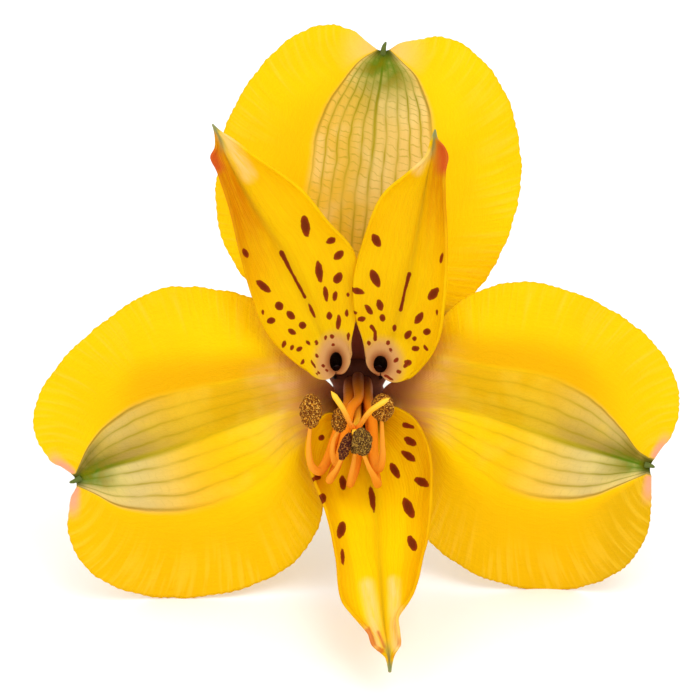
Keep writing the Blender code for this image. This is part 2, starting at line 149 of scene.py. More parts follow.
def smooth_step(value, low=0.0, high=1.0):
    value = np.clip((np.asarray(value, float) - low) / (high - low), 0.0, 1.0)
    return value * value * (3 - 2 * value)


def bend_rows(first, middle, last, u):
    """Rows of points on the circles through three lines, with u from -1 at the first to 1 at the last."""
    a, b = first - middle, last - middle
    normal = np.cross(a, b)
    size = np.maximum(np.linalg.norm(normal, axis=1, keepdims=True), 1e-9)
    a2, b2 = (a * a).sum(1, keepdims=True), (b * b).sum(1, keepdims=True)
    centre = (b2 * np.cross(normal, a) + a2 * np.cross(b, normal)) / (2 * size**2)
    spoke = -centre
    side = np.cross(normal / size, spoke)

    def turn(arm):
        return np.arctan2(((arm - centre) * side).sum(1), ((arm - centre) * spoke).sum(1))[:, None]

    low, high = turn(a), turn(b)
    angle = (u * (high - low) / 2 + u * u * (high + low) / 2)[..., None]
    circle = centre[:, None] + spoke[:, None] * np.cos(angle) + side[:, None] * np.sin(angle)
    uu = u[None, :, None]
    straight = uu * (b - a)[:, None] / 2 + uu * uu * (a + b)[:, None] / 2
    bent = size > 1e-4 * np.sqrt(a2 * b2)
    return middle[:, None] + np.where(bent[:, None], circle, straight)


def add_tube(body, line, radii, sides):
    """A grid rolled up round a line in the flower's axes, welded along its seam and capped."""
    rings = len(line) - 1
    ahead = unit(np.gradient(line, axis=0))
    side = np.cross(ahead[0], (0.0, 0.3, 1.0) if abs(ahead[0][2]) < 0.8 else (1.0, 0.2, 0.0))
    across_ring = []
    for forward in ahead:
        side = unit(side - forward * np.dot(side, forward))
        across_ring.append(side)
    up_ring = np.cross(ahead, across_ring)
    along_layer = body.verts.layers.float.get("along") or body.verts.layers.float.new("along")
    made = bmesh.ops.create_grid(body, x_segments=sides, y_segments=rings, size=1.0)["verts"]
    for vert in made:
        ring = round((vert.co.y + 1) / 2 * rings)
        angle = math.pi * (vert.co.x + 1)
        offset = across_ring[ring] * math.cos(angle) + up_ring[ring] * math.sin(angle)
        vert[along_layer] = ring / rings
        vert.co = place(line[ring] + offset * radii[ring])
    close_ends(body, made)
    return [vert for vert in made if vert.is_valid]


def close_ends(body, rolled):
    """Welds a rolled grid's seam and fills its two open ends."""
    bmesh.ops.remove_doubles(body, verts=rolled, dist=1e-8)
    rims = {edge for vert in rolled if vert.is_valid for edge in vert.link_edges if edge.is_boundary}
    bmesh.ops.holes_fill(body, edges=list(rims), sides=0)


def finish_mesh(body, mesh):
    body.to_mesh(mesh)
    body.free()
    mesh.shade_smooth()


def finish_piece(body, name, node, slot, materials):
    """One finished piece in the scene: what it stands for, what it rides on and its materials."""
    mesh = bpy.data.meshes.new(name)
    finish_mesh(body, mesh)
    piece = put_in_scene(name, mesh)
    for material in materials:
        mesh.materials.append(material)
    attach(piece, "root")
    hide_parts(node)
    return piece


def finish_solid(body, *facts):
    """Turns a closed body's faces outward first."""
    bmesh.ops.recalc_face_normals(body, faces=body.faces[:])
    finish_piece(body, *facts)


print("a smooth line through three points has", len(smooth_line([(0, 0, 0), (1, 0, 0), (1, 1, 0)])), "points")

# %% [markdown]
# ## Tepal lines
#
# Each tepal is given as its two margins and its midrib, from the ovary to the tip, the same lines that the
# frame was built on. The first four points climb the narrow claw. The rest go round the blade.

# %% The six tepals' lines
CLAW_POINTS = 4
CLAW_SHARE = 0.25
OUTER_LEFT = {
    "first": [
        (-2.85, -0.8, -0.15), (-2.6, -0.2, 5), (-3.75, 0.95, 8.8), (-7, 3.6, 11.9), (-10.9, 9, 14.1),
        (-14.1, 10.1, 15.5), (-20.6, 10.3, 17.2), (-25.6, 7.5, 18.2), (-30.8, 2.8, 19), (-33.6, -1.7, 19),
        (-33.5, -5.4, 18.9), (-31.9, -7.8, 18.4), (-31, -8.3, 18), (-29.7, -9.2, 17.7),
    ],
    "midrib": [
        (-2.7, -1.55, -0.15), (-3.5, -2.1, 4.8), (-5, -2.2, 9.2), (-7.3, -2.3, 12.6), (-11.8, -3.8, 15.2),
        (-16.4, -5.3, 16.6), (-21.1, -6.9, 17.4), (-25.7, -8.3, 17.6), (-29.5, -9.75, 17.6),
    ],
    "last": [
        (-1.7, -2.65, -0.15), (-2.5, -3.7, 4.6), (-3.3, -5.4, 7.8), (-4.3, -8.6, 10.2), (-3.8, -13.2, 12),
        (-6.4, -18.1, 12.6), (-11.5, -21, 12.1), (-18.9, -22.2, 12), (-24.4, -21.4, 13.8), (-28.4, -19, 15.6),
        (-30.2, -15.6, 17), (-30.2, -12.8, 17.5), (-30, -11.5, 17.5), (-29.3, -10.4, 17.6),
    ],
}
OUTER_RIGHT = {
    "first": [
        (2.85, -0.8, -0.15), (2.75, -0.25, 5), (3.8, 0.65, 8.8), (6.9, 2.9, 12), (9.2, 7.6, 14.2),
        (12.7, 10.1, 15.5), (17.3, 11, 16.8), (22.4, 9.9, 17.6), (28, 7, 18.6), (32, 3, 19), (33.4, -1, 19),
        (32.8, -4.8, 18.7), (31.7, -6.3, 18.1), (30.9, -7.5, 17.7),
    ],
    "midrib": [
        (2.7, -1.55, -0.15), (3.6, -2.1, 4.8), (5.1, -2.1, 9.2), (7.4, -1.9, 12.6), (12, -2.8, 15.2),
        (16.6, -4, 16.6), (21.3, -5.5, 17.4), (26, -6.9, 17.6), (30.5, -8.25, 17.6),
    ],
    "last": [
        (1.7, -2.65, -0.15), (2.6, -3.7, 4.6), (4.2, -5.6, 7.6), (6.6, -9.2, 9.2), (7, -15.4, 10.8),
        (10.9, -18.9, 11), (14.5, -20.5, 10.6), (18.6, -21.4, 10.3), (23.4, -21.1, 11.2), (27.7, -19.1, 13.5),
        (30, -15.9, 16), (30.6, -12.4, 17.2), (30.6, -10.4, 17.5), (30.6, -9.3, 17.6),
    ],
}
OUTER_TOP = {
    "first": [
        (-1.5, 2.7, -0.15), (-2, 3.5, 4.6), (-3.6, 5.6, 7.6), (-7, 7.6, 9.8), (-11.8, 11.3, 12), (-14.4, 16, 13.5),
        (-14.9, 21.1, 14.5), (-13.7, 27.8, 15), (-11.2, 32.3, 14.5), (-7.1, 36.6, 13.6), (-3.6, 38, 13.8),
        (-0.5, 37.3, 14.7), (0.9, 36.2, 15.1), (1.8, 35.5, 15.4),
    ],
    "midrib": [
        (0, 3.1, -0.15), (0, 3.9, 4.8), (0, 5.2, 8.4), (0.2, 8, 11.4), (0.6, 14.5, 14.2), (1.2, 21, 15.8),
        (1.7, 26.5, 16.2), (2.1, 31.8, 16), (2.65, 35.2, 15.5),
    ],
    "last": [
        (1.5, 2.7, -0.15), (2, 3.5, 4.6), (4, 4.9, 7.2), (8.4, 6.9, 9.4), (12.5, 10.2, 11.3), (15.4, 15, 13),
        (17, 20.8, 14), (16.9, 25.2, 14.7), (15.5, 30.6, 15), (12.5, 34.8, 13.8), (9.1, 36.7, 13.6),
        (5.7, 36.3, 14.8), (4.3, 36, 15.1), (3.5, 35.5, 15.4),
    ],
}
INNER_LEFT = {
    "first": [
        (-2.3, 0.85, -0.15), (-2.65, 1.15, 4.8), (-2.95, 1.3, 8.8), (-3.1, 1.15, 12.2), (-4.8, 1.4, 12.8),
        (-7.4, 3.2, 14.4), (-9.4, 5.5, 16.5), (-10.8, 8.9, 19.5), (-12.2, 14.1, 24.5), (-13.1, 18.3, 28),
        (-14.3, 22, 31), (-14.95, 23.4, 32.4), (-14.5, 24.4, 33.2), (-14.6, 25.7, 34.1), (-14.85, 26.7, 34.9),
    ],
    "midrib": [
        (-2.95, 1.85, -0.15), (-3.35, 2.4, 4.8), (-3.5, 3.1, 8.8), (-3.3, 4, 12.6), (-5.6, 9.5, 16.6),
        (-8.4, 14.8, 21.2), (-11.2, 19.2, 26), (-13.5, 23.6, 31.2), (-14.25, 25.7, 33.9), (-14.8, 26.75, 34.95),
    ],
    "last": [
        (-1.5, 1.85, -0.15), (-1.6, 2.1, 4.8), (-1.6, 2.1, 8.8), (-1.7, 1.45, 12.2), (-0.9, 2.2, 12.9),
        (-0.8, 4.6, 14.1), (-0.3, 6.9, 15.1), (0.1, 10.4, 17), (-0.4, 13.9, 19.8), (-3.2, 17.1, 23.4),
        (-6, 20.4, 27.4), (-10.8, 23.8, 31.5), (-12.6, 25.1, 33), (-13.9, 26, 34.1), (-14.72, 26.75, 34.95),
    ],
}
INNER_RIGHT = {
    "first": [
        (1.5, 1.85, -0.15), (1.5, 2, 4.8), (1.4, 1.9, 8.8), (1.7, 1.25, 12.2), (1, 2.4, 13), (0.5, 4.9, 14.3),
        (-0.3, 7.4, 16), (-0.5, 11.2, 18.6), (0.5, 15, 21.3), (2.4, 19.6, 25.3), (5.4, 22.2, 29.2),
        (6.9, 23.6, 31), (7.4, 25.2, 32.4), (7.72, 26.2, 33.2),
    ],
    "midrib": [
        (2.95, 1.85, -0.15), (3.2, 2.4, 4.8), (3.4, 3.1, 8.8), (3.3, 4, 12.7), (4.8, 9.5, 16.8), (6, 15, 21),
        (6.9, 20.4, 25.8), (7.4, 23.5, 30.2), (7.65, 25.3, 32.2), (7.78, 26.25, 33.2),
    ],
    "last": [
        (2.3, 0.85, -0.15), (2.6, 1, 4.8), (2.9, 1.05, 8.8), (3.1, 0.95, 12.1), (4.8, 0.7, 12.6), (6.9, 2.4, 14.3),
        (8.3, 4.8, 16.6), (8.9, 9, 20), (9.1, 14.8, 24.3), (8.8, 19.7, 27.8), (8.8, 22.1, 30.2), (9.05, 23.3, 31),
        (8.83, 24.2, 31.8), (8.05, 25.3, 32.5), (7.84, 26.2, 33.2),
    ],
}
INNER_LOWER = {
    "first": [
        (-0.7, -2.1, -0.15), (-1.2, -2.6, 4.8), (-2.2, -2.8, 8.4), (-3.4, -2.9, 11), (-4.9, -4.2, 12.6),
        (-5.5, -6.6, 14.2), (-4.8, -9.2, 16.2), (-3.3, -13, 19.4), (-2.3, -17.4, 23.4), (-1.9, -21, 27),
        (-1.28, -22.3, 29), (0.31, -23.9, 30.6), (1, -24.7, 31.6), (1.5, -26.1, 32.6), (2.18, -26.6, 33),
        (2.8, -27, 33.2), (3.05, -28.7, 34.2),
    ],
    "midrib": [
        (0, -3.3, -0.15), (0, -4, 4.6), (0.3, -5.3, 8.6), (0.9, -7.6, 11.3), (1.7, -11.2, 14.8), (2, -15.2, 18.8),
        (2.3, -19.5, 23.4), (2.6, -23.5, 28), (3.05, -27, 32.5), (3.18, -28.8, 34.2),
    ],
    "last": [
        (0.7, -2.1, -0.15), (1.3, -2.4, 4.8), (2.6, -2.2, 8.6), (4, -2.2, 11.2), (5.9, -3.4, 13),
        (7.4, -6.5, 15.6), (7.6, -11.2, 19.4), (7.1, -15.7, 23), (6.67, -17.1, 24.4), (5.95, -20, 27),
        (5.2, -21.6, 28.8), (4.2, -22.6, 30), (3.94, -23.5, 30.8), (4.1, -24.8, 31.7), (4.17, -26.1, 32.6),
        (3.5, -27, 33.2), (3.3, -28.7, 34.2),
    ],
}
print("margin points:", {"left": len(OUTER_LEFT["first"]), "top": len(OUTER_TOP["first"])})

# %% [markdown]
# ## Markings
#
# An outer tepal has a pale, veined zone along its midrib, with crisp borders. An inner tepal has brown flecks
# that guide bees to the nectar, long ones far out and small round ones near the throat. Each fleck is given as
# it is seen from the front: its middle, length, width and the way it points in degrees. A few long streaks are
# given as lines of points with radii. All are in millimetres.

# %% Pale zones and flecks
ZONE_LEFT = {
    "midrib": [(-30.6, -9.9), (-26.5, -8.4), (-21.7, -7.1), (-16.9, -5.5), (-12.2, -3.9), (-7.3, -2.2), (0, -0.5)],
    "upper": [(-30.4, -9.3), (-28.9, -6.2), (-26.5, -3.7), (-23.7, -1.9), (-19.2, -0.5), (-14.5, 0.4), (-9.7, 1.2),
              (0, 3)],
    "lower": [(-30.2, -10.6), (-28.2, -11.5), (-26, -12.6), (-22.9, -13.1), (-18.1, -13), (-13.3, -11.5),
              (-9.7, -9.4), (-6.6, -6.2), (0, -4)],
}
ZONE_RIGHT = {
    "midrib": [(31.4, -8.6), (26.8, -7.2), (21.9, -5.8), (17.1, -4.1), (12.4, -2.8), (7.5, -1.9), (0, -0.5)],
    "upper": [(31.2, -7.6), (30.1, -6.8), (28.4, -4.6), (25.5, -1.7), (22.2, 0.2), (18.4, 1.5), (13.5, 2.2),
              (9.2, 3.1), (0, 4)],
    "lower": [(31, -9.3), (28, -10.5), (25.5, -11.5), (22.7, -11.9), (18.4, -11.5), (14.7, -9.9), (11.2, -7.4),
              (8.3, -5.1), (0, -3)],
}
ZONE_TOP = {
    "midrib": [(2.8, 36.3), (2.4, 32.7), (1.9, 30), (1.7, 26.6), (1.2, 22.4), (0.6, 16.9), (0, 10), (0, 2)],
    "upper": [(2.2, 36.3), (0.3, 35.1), (-1.1, 33.4), (-2.6, 31.3), (-3.8, 29), (-4.6, 26.8), (-4.8, 24.5),
              (-5.4, 21.3), (-5.6, 15), (-4.5, 8), (-2, 2)],
    "lower": [(3.3, 36.3), (4.7, 34.9), (6.1, 33.4), (6.9, 31.6), (7.6, 29.6), (7.8, 28), (8.2, 22), (7.6, 15),
              (5, 8), (2, 2)],
}
FLECKS_LEFT = [
    (-5.7, 17.5, 2.2, 0.91, 97), (-2.9, 15.9, 1.1, 0.65, 30), (-2.1, 14.3, 1.2, 0.75, 45),
    (-4.2, 12.5, 2.2, 0.75, 97), (-2.2, 11.8, 1.3, 0.81, 60), (-3.5, 10.1, 1.6, 0.49, 97),
    (-2.5, 9.9, 1.1, 0.49, 80), (-1.1, 10, 0.5, 0.32, 90), (-5, 8.3, 1.5, 0.43, 115), (-7.3, 7.8, 1.1, 0.71, 135),
    (-8.6, 8.8, 1, 0.86, 130), (-3.1, 7.7, 0.8, 0.59, 90), (-6, 6.7, 0.8, 0.7, 0), (-2.1, 7, 1.5, 0.52, 88),
    (-7.2, 6, 1, 0.59, 150), (-1.2, 8, 0.8, 0.38, 90), (-8.1, 4.6, 0.8, 0.43, 70), (-7.2, 4.3, 0.6, 0.4, 60),
    (-6.4, 4.1, 0.8, 0.49, 35), (-5.4, 4.8, 0.8, 0.43, 140), (-4.5, 4.8, 0.6, 0.47, 90),
    (-3.5, 5.3, 0.5, 0.34, 75), (-2.8, 5.5, 0.5, 0.47, 0), (-2.7, 4.6, 0.5, 0.32, 10), (-1, 5.5, 0.8, 0.34, 90),
    (-6, 2.7, 0.8, 0.37, 50), (-4.5, 3.4, 0.5, 0.37, 140), (-4.9, 2.8, 0.5, 0.38, 40), (-4.7, 2.3, 0.4, 0.41, 0),
    (-3.8, 2.3, 0.4, 0.41, 0), (-3.4, 1.8, 0.5, 0.32, 150), (-4.3, 1.5, 0.5, 0.38, 40),
    (-10.3, 10.9, 1.9, 0.75, 140), (-12.3, 14.5, 1, 0.59, 120), (-9.5, 7.2, 1, 0.65, 10),
    (-10.4, 8.1, 0.5, 0.27, 90),
]
STREAKS_LEFT = [[(-8.3, 14.5, 0.34), (-7.2, 12.3, 0.2), (-5.8, 9.8, 0.25)]]
FLECKS_RIGHT = [
    (1.9, 15.9, 1.5, 0.84, 120), (1.8, 11.8, 2, 0.91, 115), (-0.1, 10.4, 1.3, 0.65, 165),
    (8.2, 10.1, 1.5, 0.86, 50), (9.1, 14, 1.2, 0.32, 75), (8.6, 8.1, 0.6, 0.22, 90), (2.3, 8.9, 1.2, 0.68, 105),
    (1.1, 8.4, 1.2, 0.56, 130), (-0.5, 8, 0.7, 0.4, 20), (0.3, 7.4, 0.9, 0.52, 10), (2.6, 7.5, 0.8, 0.61, 110),
    (3.9, 6.4, 0.8, 0.52, 90), (6.6, 7.5, 1.4, 0.71, 55), (5.4, 5.7, 1, 0.65, 55), (7.5, 6, 0.9, 0.68, 0),
    (6.1, 5.3, 0.5, 0.48, 0), (1.1, 4.8, 0.5, 0.4, 90), (3.2, 4.8, 0.5, 0.52, 0), (3.5, 4, 0.6, 0.32, 120),
    (6.2, 4.2, 0.9, 0.54, 175), (7.4, 4.2, 0.8, 0.38, 125), (4.1, 2.9, 0.6, 0.43, 50), (5.4, 2.7, 0.8, 0.52, 170),
    (5.1, 2.3, 0.5, 0.45, 0), (4.4, 1.7, 0.6, 0.47, 150), (3, 1.2, 0.8, 0.32, 160), (3.5, 0.9, 0.8, 0.27, 150),
]
STREAKS_RIGHT = [
    [(5.5, 12.2, 0.3), (5, 10.3, 0.2), (4.6, 8.4, 0.25)], [(1.4, 6.6, 0.22), (1.8, 6, 0.18), (1.8, 5.2, 0.22)],
]
FLECKS_LOWER = [
    (5.4, -4.2, 1.5, 0.54, 165), (5.7, -5.9, 1.5, 0.75, 150), (5.5, -7.5, 1.8, 0.75, 145),
    (4, -9.1, 1.8, 0.75, 120), (6.95, -10.3, 1.6, 0.86, 155), (1.5, -12.2, 2.9, 0.65, 97),
    (5.5, -13.1, 2.2, 0.97, 115), (5.9, -16.9, 1.7, 0.86, 115), (-4, -5.5, 0.8, 0.54, 35),
    (-4.5, -9.8, 0.8, 0.54, 10), (-3.9, -12, 1, 0.65, 90), (-1.7, -10.4, 1.6, 0.7, 93),
    (-1.9, -15.4, 1.8, 0.86, 75), (-1.8, -18.3, 1.5, 0.43, 95),
]
print("flecks:", len(FLECKS_LEFT) + len(FLECKS_RIGHT) + len(FLECKS_LOWER))

# %% [markdown]
# Every vertex of a tepal gets a few plain numbers: how deep it is inside the nearest fleck, and where it is in
# the pale zone. The materials read these, so a fleck keeps a clean edge without any picture.

# %% Measuring the markings
FLECK_ROUNDNESS = 1.8  # between an ellipse's 2 and a diamond's 1
THINNEST_ZONE = 0.3  # millimetres, so that a zone's ends don't divide by nothing


def zone_position(points, zone):
    """Across the pale zone, from -1 at its lower border to 1 at its upper one, and along it from the tip."""
    midrib = smooth_line(zone["midrib"], 30)
    far, ahead = lengths_along(midrib), unit(np.gradient(midrib, axis=0))

    def project(spots):
        gap = spots[:, None] - midrib[None]
        nearest = (gap**2).sum(2).argmin(1)
        arm = gap[np.arange(len(spots)), nearest]
        height = ahead[nearest, 0] * arm[:, 1] - ahead[nearest, 1] * arm[:, 0]
        return far[nearest] + (ahead[nearest] * arm).sum(1), height

    def width_at(wanted, border):
        border_along, border_height = project(smooth_line(border, 12))
        order = np.argsort(border_along)
        width = np.interp(wanted, border_along[order], np.abs(border_height[order]))
        return np.maximum(width, THINNEST_ZONE), np.sign(border_height.mean())

    along, height = project(points.reshape(-1, 2))
    upper, turn = width_at(along, zone["upper"])
    lower, _ = width_at(along, zone["lower"])
    height = height * turn
    across = np.where(height > 0, height / upper, height / lower)
    return across.reshape(points.shape[:-1]), along.reshape(points.shape[:-1])


def line_distance(points, x0, y0, x1, y1):
    """Each point's share of the way along a short line, and its distance from it."""
    run = np.array((x1 - x0, y1 - y0))
    share = np.clip((points - (x0, y0)) @ run / (run @ run), 0, 1)
    return share, np.linalg.norm(points - (x0, y0) - share[..., None] * run, axis=-1)


def fleck_depth(points, flecks, streaks=()):
    """How far inside the nearest fleck each point lies, in millimetres, and below zero outside."""
    deepest = np.full(points.shape[:-1], -3.0)
    for x, y, length, width, degrees in flecks:
        turn = math.radians(degrees)
        arm = points - (x, y)
        ahead = np.abs(arm @ (math.cos(turn), math.sin(turn))) / (length * 0.54)
        aside = np.abs(arm @ (-math.sin(turn), math.cos(turn))) / (width * 0.56)
        ring = (ahead**FLECK_ROUNDNESS + aside**FLECK_ROUNDNESS) ** (1 / FLECK_ROUNDNESS)
        deepest = np.maximum(deepest, (1 - ring) * width / 2)
    for streak in streaks:
        for (x0, y0, r0), (x1, y1, r1) in zip(streak, streak[1:]):
            share, gap = line_distance(points, x0, y0, x1, y1)
            deepest = np.maximum(deepest, r0 + (r1 - r0) * share - gap)
    return deepest


def near(points, spots):
    """A soft mask that is 1 on each short line from (x0, y0) to (x1, y1) and 0 a radius away from it."""
    masks = [smooth_step(1 - line_distance(points, *ends)[1] / radius) for *ends, radius in spots]
    return np.max(masks, axis=0)


print("depth at a fleck's middle:", fleck_depth(np.array([[1.9, 15.9]]), FLECKS_RIGHT).round(2).tolist(), "mm")

# %% [markdown]
# ## Node tools
#
# A finish is a recipe of small sums over masks and noises. A Value stands for what a node puts out, and adding
# or multiplying values adds the nodes that do it, so a recipe reads like the sum it stands for. Colours are
# given in their usual 0 to 255, and paint lays coats of them over each other, each through its own mask.

# %% Node helpers


class Value:
    """What a node puts out: a number, a colour or a place."""

    def __init__(self, node, output=0):
        self.tree, self.socket = node.id_data, node.outputs[output]

    def calc(self, operation, other=0.0, swapped=False, clamp=False):
        inputs = {0: other, 1: self} if swapped else {0: self, 1: other}
        return Value(add_node(self.tree, "ShaderNodeMath", inputs, operation=operation, use_clamp=clamp))

    def __add__(self, other):
        return self.calc("ADD", other)

    def __sub__(self, other):
        return self.calc("SUBTRACT", other)

    def __rsub__(self, other):
        return self.calc("SUBTRACT", other, swapped=True)

    def __mul__(self, other):
        return self.calc("MULTIPLY", other)

    def __abs__(self):
        return self.calc("ABSOLUTE")

    def step(self, low, high, to_low, to_high):
        """From to_low to to_high, smoothly, as the value goes from low to high."""
        inputs = {"Value": self, "From Min": low, "From Max": high, "To Min": to_low, "To Max": to_high}
        return Value(add_node(self.tree, "ShaderNodeMapRange", inputs, interpolation_type="SMOOTHSTEP"), "Result")

    def rise(self, low, high, top=1.0):
        return self.step(low, high, 0.0, top)

    def fall(self, low, high, top=1.0):
        return self.step(low, high, top, 0.0)


def colour(red, green, blue):
    """A colour from its usual 0 to 255 values to the linear values that nodes take."""
    linear = [value / 12.92 if value <= 0.04045 else ((value + 0.055) / 1.055) ** 2.4
              for value in (red / 255, green / 255, blue / 255)]
    return (*linear, 1.0)


def feed(node, inputs):
    """Links each input to a value, or sets it to a number or a colour."""
    for key, value in inputs.items():
        if isinstance(value, Value):
            node.id_data.links.new(value.socket, node.inputs[key])
        else:
            node.inputs[key].default_value = colour(*value) if isinstance(value, tuple) else value
    return node


def add_node(tree, kind, inputs=None, **settings):
    made = tree.nodes.new(kind)
    for name, value in settings.items():
        setattr(made, name, value)
    return feed(made, inputs or {})


def object_place(tree):
    return Value(add_node(tree, "ShaderNodeTexCoord"), "Object")


def attributes(tree, *names):
    return [Value(add_node(tree, "ShaderNodeAttribute", attribute_name=name), "Fac") for name in names]


def noise_at(spot, scale, detail=2.0):
    inputs = {"Vector": spot, "Scale": scale, "Detail": detail, "Roughness": 0.55}
    return Value(add_node(spot.tree, "ShaderNodeTexNoise", inputs), "Fac")


def joined(x, y, z=0.0):
    return Value(add_node(x.tree, "ShaderNodeCombineXYZ", {"X": x, "Y": y, "Z": z}), "Vector")


def part_of(spot, axis):
    return Value(add_node(spot.tree, "ShaderNodeSeparateXYZ", {"Vector": spot}), axis)


def blend(share, base, coat):
    """A coat of colour over a base, as thick as the share says."""
    tree = next(value.tree for value in (share, base, coat) if isinstance(value, Value))
    mixed = add_node(tree, "ShaderNodeMix", {0: share, 6: base, 7: coat}, data_type="RGBA", clamp_factor=True)
    return Value(mixed, 2)


def paint(base, *coats):
    """A base colour with coats over it in turn, each given as its mask and its colour."""
    for mask, coat in coats:
        base = blend(mask, base, coat)
    return base


def new_group(name, inputs, outputs):
    """A group of nodes with these number sockets: its tree, the values it is given and its output node."""
    tree = bpy.data.node_groups.new(name, "ShaderNodeTree")
    for in_out, labels in (("INPUT", inputs), ("OUTPUT", outputs)):
        for label in labels:
            tree.interface.new_socket(name=label, in_out=in_out, socket_type="NodeSocketFloat")
    given = tree.nodes.new("NodeGroupInput")
    return tree, [Value(given, label) for label in inputs], tree.nodes.new("NodeGroupOutput")


def use_group(tree, group, inputs):
    made = add_node(tree, "ShaderNodeGroup", inputs, node_tree=group)
    return [Value(made, index) for index in range(len(made.outputs))]


def new_material(name):
    material = bpy.data.materials.new(name)
    material.use_nodes = True
    return material, material.node_tree


def finish_material(material, tint, rough, height, strength, depth, specular=0.5, glow=0.0):
    """Feeds the shader. The height is a bump so strong and deep, and glow is the share of light let through."""
    tree = material.node_tree
    shader = tree.nodes["Principled BSDF"]
    bump = add_node(tree, "ShaderNodeBump", {"Height": height, "Strength": strength, "Distance": depth})
    bump = Value(bump, "Normal")
    feed(shader, {"Base Color": tint, "Roughness": rough, "Normal": bump, "Specular IOR Level": specular})
    if glow:
        through = add_node(tree, "ShaderNodeBsdfTranslucent", {"Color": tint, "Normal": bump})
        both = Value(add_node(tree, "ShaderNodeMixShader", {0: glow, 1: Value(shader), 2: Value(through)}))
        feed(tree.nodes["Material Output"], {"Surface": both})
    return material


print("yellow in linear values:", [round(value, 3) for value in colour(255, 215, 0)])

# %% [markdown]
# ## Petal veins
#
# A petal's veins fan out from the claw, branch towards the margin and leave fine furrows. Lines of equal "u"
# across the tepal follow them, so waves along u, bent a little by noise, give the furrows. Finer cells between
# them stand for the skin, which sparkles a little in the light.

# %% Furrows group


def make_furrows_group():
    tree, (across, count), made = new_group("petal_furrows", ["Across", "Count"], ["Height", "Lines"])
    spot = object_place(tree)
    phase = (across + (noise_at(spot, 160.0) - 0.5) * 0.22) * count
    waves, finer = (phase * math.tau).calc("SINE"), (phase * (math.tau * 2.7)).calc("SINE")
    lines = waves * 0.6 + finer * 0.4
    skin = noise_at(spot, 2600.0)
    feed(made, {"Height": lines * 0.5 + skin * 0.35, "Lines": lines.rise(-0.2, 0.9)})
    return tree


petal_furrows = make_furrows_group()
print("group:", petal_furrows.name)

# %% [markdown]
# ## Pale zone
#
# Along an outer tepal's midrib the yellow fades out and the veins show through as a net: long olive lines that
# run together at the green tip, joined by short cross veins, with cream between them. Towards the throat the
# zone turns pinkish brown and then dark.

# %% Pale zone group


def make_zone_group():
    tree, (across, along, veins, cross_veins), made = new_group(
        "pale_zone", ["Across", "Along", "Veins", "Cross Veins"], ["Mask", "Net", "Border"])
    spot = object_place(tree)
    sway = noise_at(spot, 260.0) - 0.5
    band = (across + sway * 0.12) * veins
    gap = band.calc("PINGPONG", 0.5)
    long_vein = gap.fall(0.02, 0.12, 0.55) + gap.fall(0.0, 0.34, 0.45)
    chance = Value(add_node(tree, "ShaderNodeTexWhiteNoise", {"W": band.calc("FLOOR")}, noise_dimensions="1D"))
    slant = band.calc("FRACT") * 0.35
    rung = along * 1.25 + (chance + slant) + noise_at(spot, 620.0) * 1.7
    cross_vein = rung.calc("PINGPONG", 0.5).fall(0.02, 0.12) * cross_veins
    patchy = noise_at(spot, 210.0).step(0.34, 0.6, 0.5, 1.0)
    edge = abs(across) + sway * 0.1
    feed(made, {
        "Mask": edge.fall(0.9, 1.12),
        "Net": long_vein.calc("MAXIMUM", cross_vein, clamp=True) * patchy,
        "Border": abs(edge - 0.99).fall(0.0, 0.06),
    })
    return tree


pale_zone = make_zone_group()
print("group:", pale_zone.name)

# %% [markdown]
# ## Outer tepals' finish
#
# The yellow is warm and deep, a little paler towards the margins where the tepal is thinnest, with soft creases
# there. The side tepals get painted shade above the midrib near the tip, where they fold, and are golden in their
# lower lobes, with painted shade on the right tepal's lobe near its tip. A band of painted shade lies just above
# each pale zone. Light passes through a petal, so a share of the shader is translucent and the shaded side glows
# instead of greying.

# %% Outer tepal material
PETAL_GLOW, PETAL_SPECULAR = 0.3, 0.06


def outer_yellow(top, across, along, u, v, rim, x, clouds, furrow_lines):
    """The yellow round the pale zone, and the creases that run to the margins."""
    bright, plain = ((255, 211, 0), (254, 201, 0)) if top else ((255, 208, 0), (252, 198, 0))
    creases = noise_at(joined(v * 84.0, rim * 0.12, u), 1.0)
    yellow = paint(
        bright,
        (clouds.rise(0.35, 0.7), plain),
        (furrow_lines * 0.07, (248, 192, 0)),
        (v.fall(0.3, 0.6, 0.85), (255, 224, 0)),
    )
    if not top:
        lobe = across.rise(-1.0, -1.6)
        # Painted shade on the right tepal's lower lobe near its tip.
        right_lobe_painted_shade = x.rise(0.022, 0.028, 0.7) * along.fall(6.0, 14.0)
        yellow = paint(yellow, (lobe * 0.7, (236, 190, 0)), (lobe * right_lobe_painted_shade, (218, 172, 6)))
    yellow = paint(yellow, (creases.rise(0.45, 0.75) * rim.fall(0.2, 7.0, 0.24), (255, 220, 84)))
    if not top:
        wrinkles = lobe * rim.fall(1.0, 9.0, 0.3) * creases.rise(0.5, 0.62)
        yellow = paint(yellow, (wrinkles, (250, 208, 36)))
    # Painted shade: a golden band just above the pale zone's upper border, where the raised zone shades the yellow;
    # faint on the top tepal.
    above = across.rise(0.95, 1.1) * across.fall(1.25, 2.0) * along.rise(3.0, 11.0, 0.35 if top else 0.9)
    return paint(yellow, (above, (232, 178, 0))), creases


